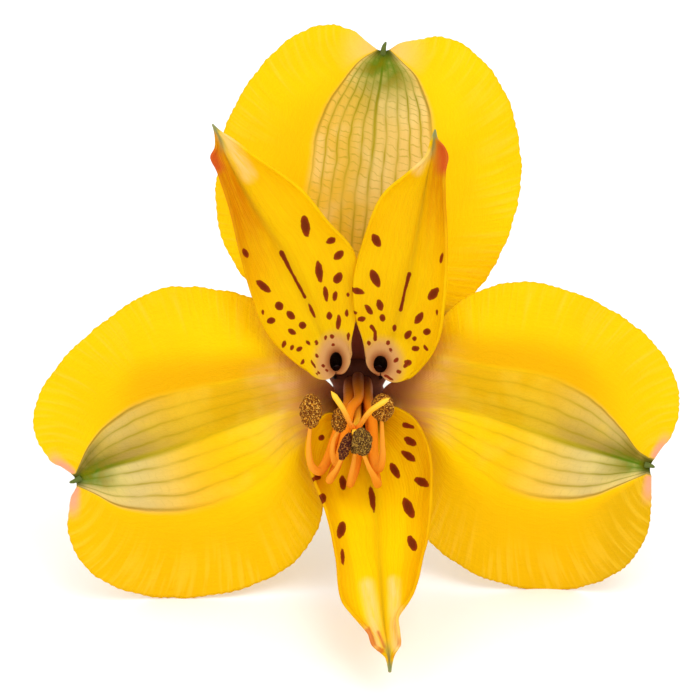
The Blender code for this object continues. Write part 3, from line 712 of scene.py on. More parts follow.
def zone_colours(top, across, along, blotch, mask):
    """The cream between the veins and its mask, and the veins' colour with their strength near and far."""
    if top:
        cream = paint(
            (238, 202, 112),
            (across.rise(-0.2, 0.5), (232, 190, 76)),
            (along.rise(11.0, 20.0, 0.8), (240, 200, 50)),
            (blotch * 0.5, (246, 218, 142)),
        )
        return cream, mask, blend(along.rise(3.0, 10.0), (140, 134, 2), (180, 156, 8)), 0.95, 0.76
    upper = paint((212, 184, 100), (along.rise(4.0, 15.0), (228, 182, 10)), (blotch * 0.4, (238, 202, 56)))
    lower = paint((222, 198, 124), (along.rise(6.0, 17.0), (248, 208, 26)), (blotch * 0.4, (250, 226, 120)))
    # Painted shade along the upper side of the midrib near the tip, where the tepal folds.
    fold = across.rise(-0.02, 0.04) * across.fall(0.05, 0.75) * along.fall(3.0, 15.0, 0.8)
    cream = paint(lower, (across.rise(-0.08, 0.04), upper), (fold, (158, 126, 52)))
    kept = along.step(6.0, 15.0, 1.0, 0.25).calc("MAXIMUM", across.rise(-0.1, 0.1))
    return cream, mask * kept, blend(along.rise(2.0, 12.0), (136, 130, 0), (182, 152, 0)), 0.72, 0.3024


def outer_throat(tint, top, deep, across, along, aside, clouds, blotch):
    """Beige, then salmon, then dark brown towards the throat, in uneven fibres."""
    if top:
        return paint(tint, (along.rise(27.0, 30.0, deep), (138, 70, 58)))
    fibres = noise_at(joined(across * 5.0, along * 0.22), 1.0, 3.0).rise(0.36, 0.66)
    uneven_along = along + (clouds - 0.5) * 4.0
    beige = uneven_along.rise(20.0, 26.0, 0.9 * deep) * aside.fall(0.9, 1.6) * across.rise(-1.25, -0.6)
    flush = uneven_along.rise(23.5, 27.0, 0.8 * deep)
    middle = abs(across - 0.2).fall(0.1, 0.75) * uneven_along.rise(24.6, 28.8, 0.8 * deep)
    return paint(
        tint,
        (beige * (1.0 - fibres * 0.6), blend(blotch, (226, 170, 92), (240, 194, 132))),
        (flush * (1.0 - fibres * 0.4), (226, 160, 84)),
        (middle, (146, 78, 48)),
        (uneven_along.rise(27.4, 30.2, deep), (176, 98, 58)),
        (along.rise(29.5, 32.0, deep), (78, 42, 30)),
    )


def outer_tip(tint, top, across, along, aside, notch, horn, specks):
    """The green and olive tip, speckled, with its soft notch and its dark horn."""
    speckle = specks.step(0.25, 0.6, 0.5, 1.0) * aside.fall(0.8, 1.1)
    if top:
        pink, dull = (250, 208, 116), (150, 138, 6)
        green = aside.step(0.3, 1.0, 1.0, 0.4) * along.fall(1.6, 5.8)
        olive_part = aside.step(0.2, 0.9, 1.0, 0.2) * along.fall(3.0, 9.5, 0.6)
    else:
        pink, dull = (250, 178, 136), (104, 92, 6)
        green = abs(across + 0.12).fall(0.2, 0.7) * along.fall(1.2, 6.5)
        olive_part = across.rise(0.0, 0.3) * along.fall(1.5, 6.0, 0.85)
    return paint(
        tint,
        (notch, pink),
        (olive_part * speckle, dull),
        (green * speckle, blend(specks.rise(0.42, 0.6), (76, 122, 0), (126, 122, 0))),
        (along.fall(0.1, 1.5, 0.85) * aside.fall(0.6, 1.3), (58, 70, 2)),
        (horn, (104, 116, 54)),
    )


def make_outer_material(name, front, top):
    """The top tepal shows more of its net of veins, and the side tepals are yellower below the midrib."""
    material, tree = new_material(name)
    spot = object_place(tree)
    across, along, u, rim, notch, horn = attributes(tree, "zone_across", "zone_along", "u", "rim", "notch", "horn")
    v = part_of(Value(add_node(tree, "ShaderNodeUVMap", uv_map="grid"), "UV"), "Y")
    aside, clouds, mottle = abs(across), noise_at(spot, 70.0, 3.0), noise_at(spot, 240.0)
    blotch = mottle.rise(0.42, 0.68)
    furrow_height, furrow_lines = use_group(tree, petal_furrows, {"Across": u, "Count": 22.0})
    count, crossing = (5.0, 0.62) if top else (4.0, 0.16)
    mask, net, border = use_group(
        tree, pale_zone, {"Across": across, "Along": along, "Veins": count, "Cross Veins": crossing})
    yellow, creases = outer_yellow(top, across, along, u, v, rim, part_of(spot, "X"), clouds, furrow_lines)
    cream, cream_mask, vein, near_share, far_share = zone_colours(top, across, along, blotch, mask)
    rib = aside.fall(0.01, 0.06 if top else 0.11) * along.fall(4.0, 19.0, 0.85)
    tint = paint(
        yellow,
        (cream_mask, cream),
        (net * mask * along.step(4.0, 22.0, near_share, far_share), vein),
        (border * along.fall(3.0, 16.0, 0.65), (146, 108, 20)),
        (rib, blend(along.rise(2.0, 9.0), (96, 108, 0), (170, 154, 0))),
    )
    tint = outer_throat(tint, top, 1.0 if front else 0.3, across, along, aside, clouds, blotch)
    tint = outer_tip(tint, top, across, along, aside, notch, horn, noise_at(spot, 520.0))
    if not front:
        stripe = aside.fall(0.1, 0.9, 0.8) * along.step(10.0, 26.0, 1.0, 0.35)
        tint = paint(tint, (stripe, (132, 152, 40)), (0.15, (250, 220, 80)))
    height = furrow_height * 0.28 + creases * rim.step(0.2, 7.0, 2.4, 0.4)
    return finish_material(material, tint, mottle.step(0.3, 0.7, 0.5, 0.64), height, 0.5, 0.00018,
                           PETAL_SPECULAR, PETAL_GLOW)


outer_top, outer_side = [
    [make_outer_material(f"outer_{part}_{side}", side == "front", part == "top") for side in ("front", "back")]
    for part in ("top", "side")
]
print("materials:", [material.name for material in outer_top + outer_side])

# %% [markdown]
# ## Inner tepals' finish
#
# The inner tepals are a shade deeper than the outer ones, with a darker midrib groove, pale green points with
# orange beside them, and a brown lip and pinkish halo round the mouth of each nectar tube. The flecks are crisp
# on the face and show only as faint shadows behind.

# %% Inner tepal material


def make_inner_material(name, front):
    material, tree = new_material(name)
    spot = object_place(tree)
    fleck, u, along, painted_shade, halo, lip, blush, peach, claw = attributes(
        tree, "fleck", "u", "from_tip", "painted_shade", "halo", "lip", "blush", "peach", "claw")
    aside, clouds = abs(u), noise_at(spot, 110.0, 3.0)
    lit = noise_at(joined(u * 7.0, along * 0.25), 1.0)
    furrow_height, furrow_lines = use_group(tree, petal_furrows, {"Across": u, "Count": 9.0})
    wobble = (noise_at(spot, 1300.0) - 0.5) * 0.2
    inside = (fleck + wobble).rise(-0.03, 0.03)
    tint = paint(
        (255, 222, 0),
        (clouds.rise(0.35, 0.7), (254, 213, 0)),
        (furrow_lines * 0.12, (244, 180, 0)),
        # Painted shade: deeper orange beside the midrib and towards the margins, broken up by streaky noise.
        (painted_shade * lit.step(0.3, 0.6, 0.75, 1.0), (216, 132, 0)),
        (aside.fall(0.0, 0.12) * along.step(4.0, 22.0, 0.75, 0.25), (196, 146, 12)),
        (peach * lit.step(0.3, 0.62, 0.25, 0.75), (253, 226, 150)),
        (halo, (218, 162, 112)),
        (lip, (168, 92, 50)),
        (blush * 0.95, (214, 88, 34)),
        (along.fall(1.6, 5.0) * aside.fall(0.08, 0.4), (164, 152, 84)),
        (along.fall(0.5, 1.6), (164, 166, 108)),
        (inside * (0.97 if front else 0.2), blend(fleck.rise(0.02, 0.25), (142, 42, 10), (112, 25, 12))),
        # Near-black in the claws: partly their own dark colour, partly painted shade down the nectar tubes and into
        # the throat.
        (claw, (52, 38, 26)),
    )
    if not front:
        tint = paint(tint, (aside.fall(0.05, 0.6, 0.45), (190, 156, 40)))
    height = furrow_height * 0.45 - inside * 0.25
    return finish_material(material, tint, noise_at(spot, 900.0).step(0.3, 0.7, 0.45, 0.6), height, 0.45, 0.00015,
                           PETAL_SPECULAR, PETAL_GLOW)


inner = [make_inner_material("inner_tepal_front", True), make_inner_material("inner_tepal_back", False)]
print("materials:", [material.name for material in inner])

# %% [markdown]
# ## Growing a tepal
#
# A flat grid is bent over the three lines, furrowed along the midrib and waved towards the margins. The
# margins are cut into fine uneven teeth, which show most on the outer tepals. A solidify modifier gives the
# sheet the thickness of a real petal, about a third of a millimetre, and less at the tip.

# %% Tepal builder
PETAL_THICKNESS, TIP_THICKNESS = 0.34, 0.3  # in millimetres, and the tip's as a share
FINE_TEETH, COARSE_TEETH = (1.3, 3.4), (4, 18)  # the fewest and the most grid rows from tooth to tooth


def uneven(count, spacing, seed):
    """A jagged line of numbers from -1 to 1 that turns at uneven steps."""
    random = np.random.default_rng(seed)
    knots = np.cumsum(random.uniform(*spacing, int(count / spacing[0]) + 2))
    heights = random.uniform(0.35, 1, len(knots)) * np.where(np.arange(len(knots)) % 2, 1, -1)
    return np.interp(np.arange(count), knots, heights)


def tepal_points(lines, grid, groove, wave, waves, tooth, seed):
    """Rows of points over the tepal's lines, with u from margin to margin and v from the ovary to the tip."""
    across, up = grid
    u, v = np.linspace(-1, 1, across + 1), np.linspace(0, 1, up + 1)
    cut = (CLAW_POINTS - 1) * LINE_STEPS
    rows = []
    for key in ("first", "midrib", "last"):
        line = smooth_line(lines[key])
        claw = read_line(line[: cut + 1], np.clip(v / CLAW_SHARE, 0, 1))
        blade = read_line(line[cut:], np.clip((v - CLAW_SHARE) / (1 - CLAW_SHARE), 0, 1))
        rows.append(np.where((v <= CLAW_SHARE)[:, None], claw, blade))
    points = bend_rows(*rows, u)
    blade = smooth_step(v, CLAW_SHARE, CLAW_SHARE + 0.2) * smooth_step(1 - v, 0, 0.2)
    fold = groove * np.exp(-((u / 0.12) ** 2))
    ripple = wave * np.abs(u) ** 3 * np.sin(math.tau * waves * v[:, None] + 1.3 * u)
    points[..., 2] += blade[:, None] * (ripple - fold)
    toothed = smooth_step(v, CLAW_SHARE, CLAW_SHARE + 0.06) * smooth_step(1 - v, 0.01, 0.06)
    for side, inward, at_side, shift in ((0, across // 12, u < 0, 1), (-1, -1 - across // 12, u > 0, 3)):
        out = points[:, side] - points[:, inward]
        out /= np.maximum(np.linalg.norm(out, axis=1, keepdims=True), 1e-6)
        fine, coarse = uneven(up + 1, FINE_TEETH, seed + shift), uneven(up + 1, COARSE_TEETH, seed + shift + 7)
        teeth = fine * 0.45 + coarse * 0.55
        reach = smooth_step(np.abs(u), 0.965, 1.0) * at_side
        points += (tooth * toothed * teeth)[:, None, None] * reach[None, :, None] * out[:, None]
    return points, u, v


def round_mouth(points, v, x, y, wide, high):
    """Draws the foot of the blade in round the oval mouth of its nectar tube, as seen from the front."""
    weight = (smooth_step(v, 0.17, 0.245) * (1 - smooth_step(v, 0.256, 0.3)))[:, None]
    flat = seen(points)
    aside, above = (flat[..., 0] - x) / wide, (flat[..., 1] - y) / high
    ring, angle = np.hypot(aside, above), np.arctan2(aside, above)
    half_turn, least_angle = math.radians(178), 0.5
    stretch_first = half_turn / np.maximum(-angle[:, :1], least_angle)
    stretch_last = half_turn / np.maximum(angle[:, -1:], least_angle)
    angle = angle * (1 + weight * (np.where(angle < 0, stretch_first, stretch_last) - 1))
    ring = ring * (1 - weight) + weight
    shrink = (EYE - points[..., 2]) / EYE
    round_x, round_y = x + wide * ring * np.sin(angle), y + high * ring * np.cos(angle)
    points[..., 0] = np.where(weight > 0, round_x * shrink, points[..., 0])
    points[..., 1] = np.where(weight > 0, round_y * shrink, points[..., 1])


def grow_tepal(name, points, v, values, slot, materials):
    """Bends a grid over the rows of points and stores its markings, each a number at every point."""
    up, across = points.shape[0] - 1, points.shape[1] - 1
    placed = place(points)
    body = bmesh.new()
    layers = {key: body.verts.layers.float.new(key) for key in values}
    weights = body.verts.layers.deform.new()
    uv = body.loops.layers.uv.new("grid")
    bmesh.ops.create_grid(body, x_segments=across, y_segments=up, size=1.0)
    for vert in body.verts:
        column, row = round((vert.co.x + 1) / 2 * across), round((vert.co.y + 1) / 2 * up)
        for key, layer in layers.items():
            vert[layer] = values[key][row, column]
        vert[weights][0] = float(smooth_step(1 - v[row], 0, 0.08))
        for loop in vert.link_loops:
            loop[uv].uv = (column / across, row / up)
        vert.co = placed[row, column]
    body.normal_update()
    if sum(face.normal.dot(Vector(OUTWARD)) for face in body.faces) < 0:
        bmesh.ops.reverse_faces(body, faces=body.faces[:])
    piece = finish_piece(body, name + "_petal", name, slot, materials)
    piece.vertex_groups.new(name="full_thickness")
    shell = piece.modifiers.new("thickness", "SOLIDIFY")
    shell.vertex_group = "full_thickness"
    shell.thickness_vertex_group = TIP_THICKNESS
    shell.thickness = PETAL_THICKNESS * MM
    shell.offset = 0
    shell.material_offset = 1
    print(name, "size in mm", np.round(np.ptp(placed.reshape(-1, 3), axis=0) / MM, 1).tolist())
    return piece


def from_margin(points):
    """Each point's distance to the nearer margin along its row."""
    steps = np.linalg.norm(np.diff(points, axis=1), axis=2)
    from_first = np.concatenate((np.zeros((len(points), 1)), np.cumsum(steps, axis=1)), axis=1)
    return np.minimum(from_first, from_first[:, -1:] - from_first)


print("petal thickness:", PETAL_THICKNESS, "mm")

# %% [markdown]
# ## The three outer tepals
#
# They are broad and notched at the tip, where a small hard point stands between two lobes. The sides of the
# notch are a soft salmon pink on the two side tepals, and cream on the top one.

# %% Outer tepals
OUTER = {
    "outer_tepal_left": (OUTER_LEFT, ZONE_LEFT, 3.5, [(-29, -9.5, 17.6), (-29.6, -9.8, 17.75), (-30.1, -9.95, 17.7)]),
    "outer_tepal_right": (OUTER_RIGHT, ZONE_RIGHT, 3.9, [(30, -8.1, 17.6), (30.5, -8.2, 17.8), (30.9, -8.35, 17.8)]),
    "outer_tepal_top": (OUTER_TOP, ZONE_TOP, 4.3, [(2.6, 34.9, 15.4), (2.7, 35.6, 15.8), (2.9, 36.1, 15.7)]),
}
OUTER_GRID = (96, 320)
OUTER_SHAPE = dict(groove=0.8, wave=0.45, tooth=0.16)  # in millimetres
ZONE_HEIGHT = 0.7
HORN_RADIUS, HORN_TIP = 0.26, 0.03


def bulge(across, along):
    """How far the pale zone stands up, as a long lens that is highest a little way from the tip."""
    lens = np.clip(1 - across**2, 0, 1) * smooth_step(along, 0.5, 7.0) * (1 - smooth_step(along, 12.0, 24.0))
    return ZONE_HEIGHT * lens


def add_horn(piece, line, keys):
    """The small hard point between the tip's lobes, as a tapered tube in the same piece."""
    body = bmesh.new()
    body.from_mesh(piece.data)
    layers = {key: body.verts.layers.float[key] for key in keys}
    share = np.linspace(0, 1, 16)
    for vert in add_tube(body, read_line(smooth_line(line), share), HORN_RADIUS * (1 - share) ** 0.6 + HORN_TIP, 12):
        for key, layer in layers.items():
            vert[layer] = {"horn": 1.0, "rim": 1.0, "zone_along": 0.5}.get(key, 0.0)
    finish_mesh(body, piece.data)


for index, (name, (lines, zone, waves, horn)) in enumerate(OUTER.items()):
    is_top = name == "outer_tepal_top"
    points, u, v = tepal_points(lines, OUTER_GRID, waves=waves, seed=40 + 10 * index, **OUTER_SHAPE)
    flat = seen(points)
    across, along = zone_position(flat, zone)
    points[..., 2] += bulge(across, along)
    from_tip = np.linalg.norm(flat - flat[-1, OUTER_GRID[0] // 2], axis=2)
    rim = from_margin(points)
    if is_top:
        notch = smooth_step(5.5 - from_tip, 0, 4.5) * smooth_step(np.abs(across), 1.0, 1.4) * 0.85
    else:
        notch = smooth_step(4.6 - from_tip, 0, 2.4) * smooth_step(1.7 - rim, 0, 1.3)
        notch = notch * smooth_step(np.abs(across), 0.9, 1.4)
    values = {"zone_across": across, "zone_along": along, "u": np.broadcast_to(u, rim.shape), "rim": rim,
              "notch": notch, "horn": rim * 0.0}
    piece = grow_tepal(name, points, v, values, "outer_tepal", outer_top if is_top else outer_side)
    add_horn(piece, horn, values)

# %% [markdown]
# ## The three inner tepals
#
# They are narrow and stand forward. The upper two have claws rolled into nectar tubes, with round mouths where
# the blade begins. Painted shade deepens them to orange on the outer side of the midrib, and the lower one towards
# both margins.

# %% Inner tepals
# Each tepal's painted_shade gives where painted shade deepens its yellow to orange.
INNER = {
    "inner_tepal_left": dict(
        lines=INNER_LEFT, flecks=FLECKS_LEFT, streaks=STREAKS_LEFT, waves=3.0, mouth=(-2.39, 2.71, 0.84, 1.2),
        blush=[(-15.8, 25.3, -15.3, 23.8, 1.2)], peach=[(-14.4, 27.2, -11.8, 23, 1.3)],
        painted_shade=lambda u, v: 0.22 + smooth_step(-u, -0.14, 0.12) * smooth_step(v, 0.42, 0.8) * 0.7,
    ),
    "inner_tepal_right": dict(
        lines=INNER_RIGHT, flecks=FLECKS_RIGHT, streaks=STREAKS_RIGHT, waves=3.5, mouth=(2.39, 2.43, 0.92, 1.08),
        blush=[(9.1, 25.9, 9.3, 23.8, 1.5)], peach=[(7.3, 25.4, 6.3, 23.6, 1.0)],
        painted_shade=lambda u, v: 0.24 + smooth_step(u, -0.05, 0.25) * smooth_step(v, 0.5, 0.9) * 0.6,
    ),
    "inner_tepal_lower": dict(
        lines=INNER_LOWER, flecks=FLECKS_LOWER, streaks=[], waves=4.0, mouth=None,
        blush=[(1, -26, 1.7, -28, 0.34), (1.7, -28, 2.6, -28.3, 0.3), (2.1, -26.4, 2.75, -28, 0.3),
               (4.75, -26, 4.5, -28, 0.36), (4.5, -28, 3.8, -28.9, 0.3)],
        peach=[(0.9, -21.4, 2, -27.6, 1.2), (3.9, -21, 4.1, -27.8, 1.0)],
        painted_shade=lambda u, v: (smooth_step(np.abs(u + 0.06), 0.42, 0.56) * 0.22
                            + smooth_step(np.abs(u + 0.05), 0.5, 0.95) * 0.25),
    ),
}
INNER_GRID = (110, 300)
INNER_SHAPE = dict(groove=0.6, wave=0.2, tooth=0.04)  # in millimetres
NO_FLECK = -2.0

for index, (name, look) in enumerate(INNER.items()):
    points, u, v = tepal_points(look["lines"], INNER_GRID, waves=look["waves"], seed=90 + 10 * index, **INNER_SHAPE)
    if look["mouth"]:
        round_mouth(points, v, *look["mouth"])
    flat = seen(points)
    uu, vv = np.broadcast_to(u, flat.shape[:2]), np.broadcast_to(v[:, None], flat.shape[:2])
    on_blade = smooth_step(vv, CLAW_SHARE - 0.01, CLAW_SHARE + 0.02)
    # The claw mask is partly the claws' own dark colour and partly painted shade: inside the nectar tube on the upper
    # two, low in the throat on the lower one.
    lip, halo, claw, blush = uu * 0.0, uu * 0.0, smooth_step(0.22 - vv, 0, 0.08), 0.75
    if look["mouth"]:
        x, y, wide, high = look["mouth"]
        ring = np.sqrt(((flat[..., 0] - x) / wide) ** 2 + ((flat[..., 1] - y) / high) ** 2)
        lip, halo = smooth_step(1.8 - ring, 0, 0.8) * 0.75, smooth_step(3.3 - ring, 0, 1.5) * 0.85
        claw, blush = smooth_step(CLAW_SHARE + 0.003 - vv, 0, 0.012), 0.95
    values = {
        "fleck": fleck_depth(flat, look["flecks"], look["streaks"]) * on_blade + NO_FLECK * (1 - on_blade),
        "u": uu, "from_tip": np.linalg.norm(points - points[-1, INNER_GRID[0] // 2], axis=2),
        "painted_shade": look["painted_shade"](uu, vv), "halo": halo, "lip": lip, "claw": claw,
        "blush": near(flat, look["blush"]) * blush, "peach": near(flat, look["peach"]),
    }
    grow_tepal(name, points, v, values, "inner_tepal", inner)

# %% [markdown]
# ## Stamens
#
# Six filaments bend down and then turn up, brownish at the throat and orange further out. Each carries an
# anther of two pollen sacs. Ripe pollen is mealy, so the anthers are matt, grained and uneven.

# %% Stamen finishes


def make_filament_material():
    material, tree = new_material("filament_orange")
    spot, (along,) = object_place(tree), attributes(tree, "along")
    grain = noise_at(spot, 3000.0, 3.0)
    tint = paint(
        (160, 72, 30),
        (along.rise(0.1, 0.34), (236, 130, 0)),
        (along.rise(0.55, 0.95), (232, 148, 34)),
        (noise_at(joined(along * 8.0, 0.0), 3.0) * 0.15, (250, 184, 80)),
    )
    return finish_material(material, tint, grain.step(0.3, 0.7, 0.5, 0.68), grain, 0.4, 0.0001, specular=0.12)


def make_anther_material(name, base, dark, light):
    material, tree = new_material(name)
    spot = object_place(tree)
    ridges, grain = (noise_at(spot, 1500.0) * 42.0).calc("SINE"), noise_at(spot, 6000.0)
    burst = ridges.rise(0.3, 1.0) * grain.rise(0.4, 0.65)
    tint = paint(dark, (ridges.rise(-0.7, 0.5), base), (burst, light))
    return finish_material(material, tint, 0.9, ridges * 0.6 + grain * 0.6, 0.8, 0.0002, specular=0.1)


filament_orange = make_filament_material()
ochre = make_anther_material("anther_ochre", (192, 120, 24), (112, 58, 14), (236, 184, 84))
olive = make_anther_material("anther_olive", (142, 100, 30), (80, 50, 22), (196, 156, 76))
maroon = make_anther_material("anther_maroon", (124, 62, 28), (70, 28, 22), (184, 122, 52))
print("materials:", filament_orange.name, ochre.name, olive.name, maroon.name)

# %% [markdown]
# Below the throat the filaments stand in a ring, given by its middle's height and depth and its radius. Above
# it each has its own bend, and its anther a middle, a direction, a length and a width.

# %% Filaments and anthers
RINGS = [(0, -0.15, 0.95), (-0.9, 4.5, 1.1), (-2.65, 9, 1.32)]
STAMENS = [
    (150, [(-1.8, -3.6, 11.8), (-2.5, -5.6, 14.2), (-3.3, -7.8, 16.4), (-4.1, -8.8, 17.8),
           (-4.9, -8.1, 19), (-5.15, -6.3, 20.3)], (-4.9, -2.4, 22.2), (0.05, 1, 0.3), 3.75, 2.05, ochre),
    (210, [(-1.5, -5.3, 11.8), (-2, -7.5, 14.8), (-2.7, -9.2, 17.1), (-3, -9.7, 18.4),
           (-2.8, -9.2, 20), (-2.3, -8.5, 21.6)], (-1.35, -6.1, 23.2), (0.3, 1, 0.2), 3.0, 1.1, maroon),
    (330, [(1.4, -5.4, 11.6), (1.6, -7.6, 14), (1.85, -9.5, 16.4), (2, -10.1, 18.2),
           (1.7, -9.4, 20.2), (1.1, -8.3, 22.2)], (0.4, -5.6, 24.1), (-0.1, 1, 0.25), 3.0, 1.9, olive),
    (30, [(1.5, -3.4, 11.6), (1.6, -5.4, 14), (1.7, -7.4, 16), (2.15, -8.5, 17.4),
          (2.5, -7.5, 18.5), (2.5, -5.4, 19.4)], (2.5, -2.1, 20.6), (0.05, 1, 0.25), 3.0, 2.2, ochre),
    (90, [(-0.8, -2.4, 11.8), (-1.3, -4.8, 14.4), (-1.9, -7, 16.6), (-2.3, -8, 17.9),
          (-2.7, -7, 18.9), (-2.6, -5.6, 19.3)], (-1.9, -3.35, 19.9), (0.15, 1, 0.2), 2.7, 1.6, ochre),
    (270, [(0, -5.7, 11.8), (-0.2, -8, 14.4), (-0.7, -9.7, 16.8), (-0.85, -10.1, 17.9),
           (-0.75, -9.2, 19.4), (-0.5, -7.9, 20.4)], (-0.3, -6, 21.6), (0.05, 1, 0.15), 1.8, 1.2, olive),
]
FILAMENT_RADIUS = 0.5
FILAMENT_OVERLAP = 0.15  # how far a filament goes into its anther
SACS_FURROW, SACS_DEPTH = 0.34, 0.42


def make_filament(index, angle, points, middle, ahead, length):
    turn = math.radians(angle)
    ring = [(radius * math.cos(turn), y + radius * math.sin(turn), z) for y, z, radius in RINGS]
    foot = np.array(middle) - ahead * (length / 2 - FILAMENT_OVERLAP)
    share = np.linspace(0, 1, 90)
    line = read_line(smooth_line([*ring, *points, foot]), share)
    radii = FILAMENT_RADIUS * (1.3 - 0.28 * smooth_step(share, 0.1, 0.4) - 0.62 * smooth_step(share, 0.68, 1.0))
    body = bmesh.new()
    add_tube(body, line, radii, 20)
    finish_solid(body, f"filament_{index}_stalk", f"filament_{index}", "filament", [filament_orange])


def make_anther(index, middle, ahead, length, width, material):
    """Two pollen sacs side by side, furrowed between, with a grained and slightly burst skin."""
    aside = -unit(np.cross((0.0, 0.0, 1.0), ahead))
    front = np.cross(aside, ahead)
    body = bmesh.new()
    for vert in bmesh.ops.create_uvsphere(body, u_segments=64, v_segments=44, radius=1.0)["verts"]:
        angle = math.atan2(vert.co.y, vert.co.x)
        round_part = 1 - vert.co.z**2
        furrow = 1 - SACS_FURROW * round_part * abs(math.sin(angle)) ** 7
        swell = 1 + 0.05 * noise.noise(Vector(vert.co) * 2.4 + Vector((index, 0, 0)))
        x, y, z = vert.co.x * width / 2, vert.co.y * width * SACS_DEPTH * furrow, vert.co.z * length / 2
        x *= 1 + 0.12 * round_part * abs(math.cos(angle)) ** 4
        point = np.array(middle) + (aside * x + front * y) * swell + ahead * z
        rough = 0.14 * noise.noise(Vector(point) * 2.4) + 0.06 * noise.noise(Vector(point) * 7.5)
        vert.co = place(point + (aside * vert.co.x + front * vert.co.y + ahead * vert.co.z) * rough)
    finish_solid(body, f"anther_{index}_sacs", f"anther_{index}", "anther", [material])


for index, (angle, points, middle, towards, length, width, finish) in enumerate(STAMENS, start=1):
    ahead = unit(np.array(towards, float))
    make_filament(index, angle, points, middle, ahead, length)
    make_anther(index, middle, ahead, length, width, finish)
print("stamens:", len(STAMENS))

# %% [markdown]
# ## Style
#
# The style rises between the filaments as an orange column and splits into three yellow stigma branches that
# spread like a small claw.

# %% Style
STYLE = [(0, 0, -0.15), (0, -0.9, 4.5), (-0.05, -2.6, 9), (-0.15, -3.9, 14), (-0.3, -4.4, 19.6)]
STIGMAS = [
    [(-0.3, -4.35, 19.2), (-0.75, -3.9, 20.4), (-1.6, -2.2, 22), (-2.8, -0.4, 23.2)],
    [(-0.3, -4.35, 19.2), (0.2, -3.9, 20.4), (1.2, -2.5, 22.2), (3.2, -1.1, 23.6)],
    [(-0.3, -4.35, 19.2), (-0.32, -4.6, 20.4), (-0.4, -4.7, 21.4), (-0.3, -4.5, 22.2)],
]
STYLE_RADIUS, STIGMA_RADIUS = 0.38, 0.26


def make_style_material():
    material, tree = new_material("style_yellow")
    (along,), grain = attributes(tree, "along"), noise_at(object_place(tree), 2600.0, 3.0)
    tint = paint((238, 132, 18), (along.rise(0.2, 0.9), (250, 188, 16)), (grain * 0.3, (255, 206, 60)))
    return finish_material(material, tint, grain.step(0.3, 0.7, 0.4, 0.6), grain, 0.5, 0.0001)


style_body = bmesh.new()
share = np.linspace(0, 1, 60)
style_radii = STYLE_RADIUS + 0.3 * smooth_step(share, 0.75, 1.0) * (1 - share)
add_tube(style_body, read_line(smooth_line(STYLE), share), style_radii, 20)
for branch in STIGMAS:
    radii = STIGMA_RADIUS * (0.95 + 0.25 * share) * np.sqrt(np.clip(1.02 - smooth_step(share, 0.86, 1.0), 0.02, 1))
    add_tube(style_body, read_line(smooth_line(branch), share), radii, 16)
finish_solid(style_body, "style_and_stigmas", "style", "style", [make_style_material()])
print("stigma branches:", len(STIGMAS))

# %% [markdown]
# ## Ovary and stalk
#
# Below the tepals the ovary swells into six rounded ribs, and narrows into the flower's own stalk. Its top is a
# low dome that the claws stand on, maroon like the throat. Both are green, with fine lengthwise streaks. The
# cut end of the stalk is pale and moist.

# %% Ovary and stalk
OVARY_LENGTH, OVARY_RADIUS, RIB_HEIGHT, STALK_RADIUS = 8.6, 2.7, 0.9, 1.1
DOME_SHARE, DOME_HEIGHT, DOME_FOOT = 0.12, 0.6, 0.25  # its share of the rings, its height, its foot's depth
STALK_END, STALK_SLOPE = 49.0, math.radians(4.0)  # how far behind the throat it is cut, and its slope there


def make_green_material(name, base, dark, light, end_mask, end_tint):
    material, tree = new_material(name)
    spot, (along, around) = object_place(tree), attributes(tree, "along", "around")
    streaks, blotches = noise_at(joined(around * 14.0, along * 1.6), 2.0, 4.0), noise_at(spot, 260.0, 3.0)
    tint = paint(
        dark,
        (streaks.rise(0.35, 0.68), base),
        (blotches.rise(0.5, 0.75, 0.6), light),
        (along.step(*end_mask), end_tint),
    )
    height = streaks + noise_at(spot, 3200.0) * 0.3
    return finish_material(material, tint, blotches.step(0.3, 0.7, 0.45, 0.6), height, 0.5, 0.0002, specular=0.15)


def make_ovary():
    rings, sides = 70, 144
    body = bmesh.new()
    along_layer, around_layer = [body.verts.layers.float.new(key) for key in ("along", "around")]
    made = bmesh.ops.create_grid(body, x_segments=sides, y_segments=rings, size=1.0)["verts"]
    for vert in made:
        climb, angle = (vert.co.y + 1) / 2, math.pi * (vert.co.x + 1)
        share = max(0.0, climb - DOME_SHARE) / (1 - DOME_SHARE)
        dome = min(1.0, climb / DOME_SHARE) * math.pi / 2
        shoulder = (0.98 + 0.02 * float(smooth_step(share / 0.14))) * math.sin(dome)
        narrowing = float(smooth_step((share - 0.3) / 0.7))
        crest = (0.5 - 0.5 * math.cos(6 * angle)) ** 0.8 * (1 - float(smooth_step((share - 0.35) / 0.6)))
        radius = OVARY_RADIUS * shoulder * (1 - narrowing) + STALK_RADIUS * 1.15 * narrowing
        radius += RIB_HEIGHT * crest * shoulder
        height = DOME_HEIGHT * math.cos(dome) - DOME_FOOT - share * (OVARY_LENGTH - DOME_FOOT)
        vert[along_layer], vert[around_layer] = share, abs(vert.co.x)
        vert.co = place((radius * math.cos(angle), radius * math.sin(angle), height))
    close_ends(body, made)
    # The maroon on the dome is partly its own tint and partly painted shade, so the bottom of each nectar pit stays
    # dark.
    green = make_green_material("ovary_green", (122, 140, 52), (92, 116, 40), (160, 168, 84),
                                (0.05, 0.15, 1.0, 0.0), (108, 58, 42))
    finish_solid(body, "ovary_ribbed", "ovary", "ovary", [green])


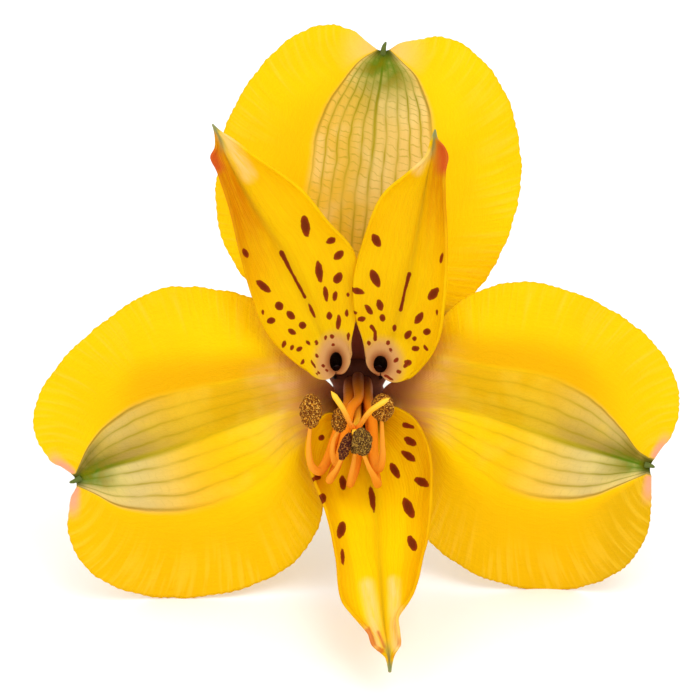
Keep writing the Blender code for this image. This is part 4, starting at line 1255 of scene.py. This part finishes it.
def make_stalk():
    """The stalk leaves the ovary along the flower's axis and bends down to lie on the table."""
    below = OVARY_LENGTH + 0.3
    start = THROAT - below * AXES[2]
    end = np.array((THROAT[0], THROAT[1] + STALK_END, STALK_RADIUS))
    run, drop = end[1] - start[1], start[2] - end[2]
    reach = (drop - run * math.tan(STALK_SLOPE)) / (math.sin(LEAN) - math.cos(LEAN) * math.tan(STALK_SLOPE))
    turn = start - reach * AXES[2]
    t = np.linspace(-0.006, 1, 120)[:, None]
    line = (1 - t) ** 2 * start + 2 * t * (1 - t) * turn + t**2 * end
    body = bmesh.new()
    around_layer = body.verts.layers.float.new("around")
    add_tube(body, (line - THROAT) @ AXES.T, np.full(len(line), STALK_RADIUS), 40)
    for vert in body.verts:
        vert[around_layer] = abs(vert.co.x - THROAT[0] * MM) / (STALK_RADIUS * MM)
        vert.co.z = max(vert.co.z, 0.0)
    green = make_green_material("stalk_green", (132, 152, 62), (104, 128, 48), (166, 178, 92),
                                (0.985, 0.992, 0.0, 1.0), (206, 214, 140))
    finish_solid(body, "stalk_round", "stalk", "stalk", [green])


make_ovary()
make_stalk()
print("ovary length:", OVARY_LENGTH, "mm, stalk radius:", STALK_RADIUS, "mm")

# %% [markdown]
# ## Table, light and finish
#
# The photo is lit evenly on plain white, so the table is white and the light comes from a pale sky and two
# large soft panels.

# %% Table and light
WHITE, TABLE_WHITE = [1.0, 1.0, 1.0, 1.0], [0.95, 0.95, 0.95, 1.0]  # as linear values
SKY_STRENGTH = 1.16

table_body = bmesh.new()
bmesh.ops.create_grid(table_body, x_segments=1, y_segments=1, size=3.0)
table_mesh = bpy.data.meshes.new("table")
finish_mesh(table_body, table_mesh)
table = put_in_scene("table", table_mesh)
table_material, table_tree = new_material("table_white")
feed(table_tree.nodes["Principled BSDF"], {"Base Color": TABLE_WHITE, "Roughness": 0.8})
table_mesh.materials.append(table_material)

world = bpy.data.worlds.new("pale_sky")
bpy.context.scene.world = world
world.use_nodes = True
feed(world.node_tree.nodes["Background"], {"Color": WHITE, "Strength": SKY_STRENGTH})


def add_panel(name, spot, size, power):
    """A large soft light that faces the flower."""
    data = bpy.data.lights.new(name, "AREA")
    data.shape, data.size, data.energy = "DISK", size, power
    panel = put_in_scene(name, data)
    panel.location = spot
    panel.rotation_euler = (Vector(place((0, 0, 12))) - Vector(spot)).to_track_quat("-Z", "Y").to_euler()


add_panel("key_panel", (0.25, -0.45, 0.75), 0.5, 2.0)
add_panel("fill_panel", (-0.5, -0.3, 0.5), 0.6, 0.8)
bpy.context.scene.view_settings.view_transform = "Standard"
print("panels: 2")
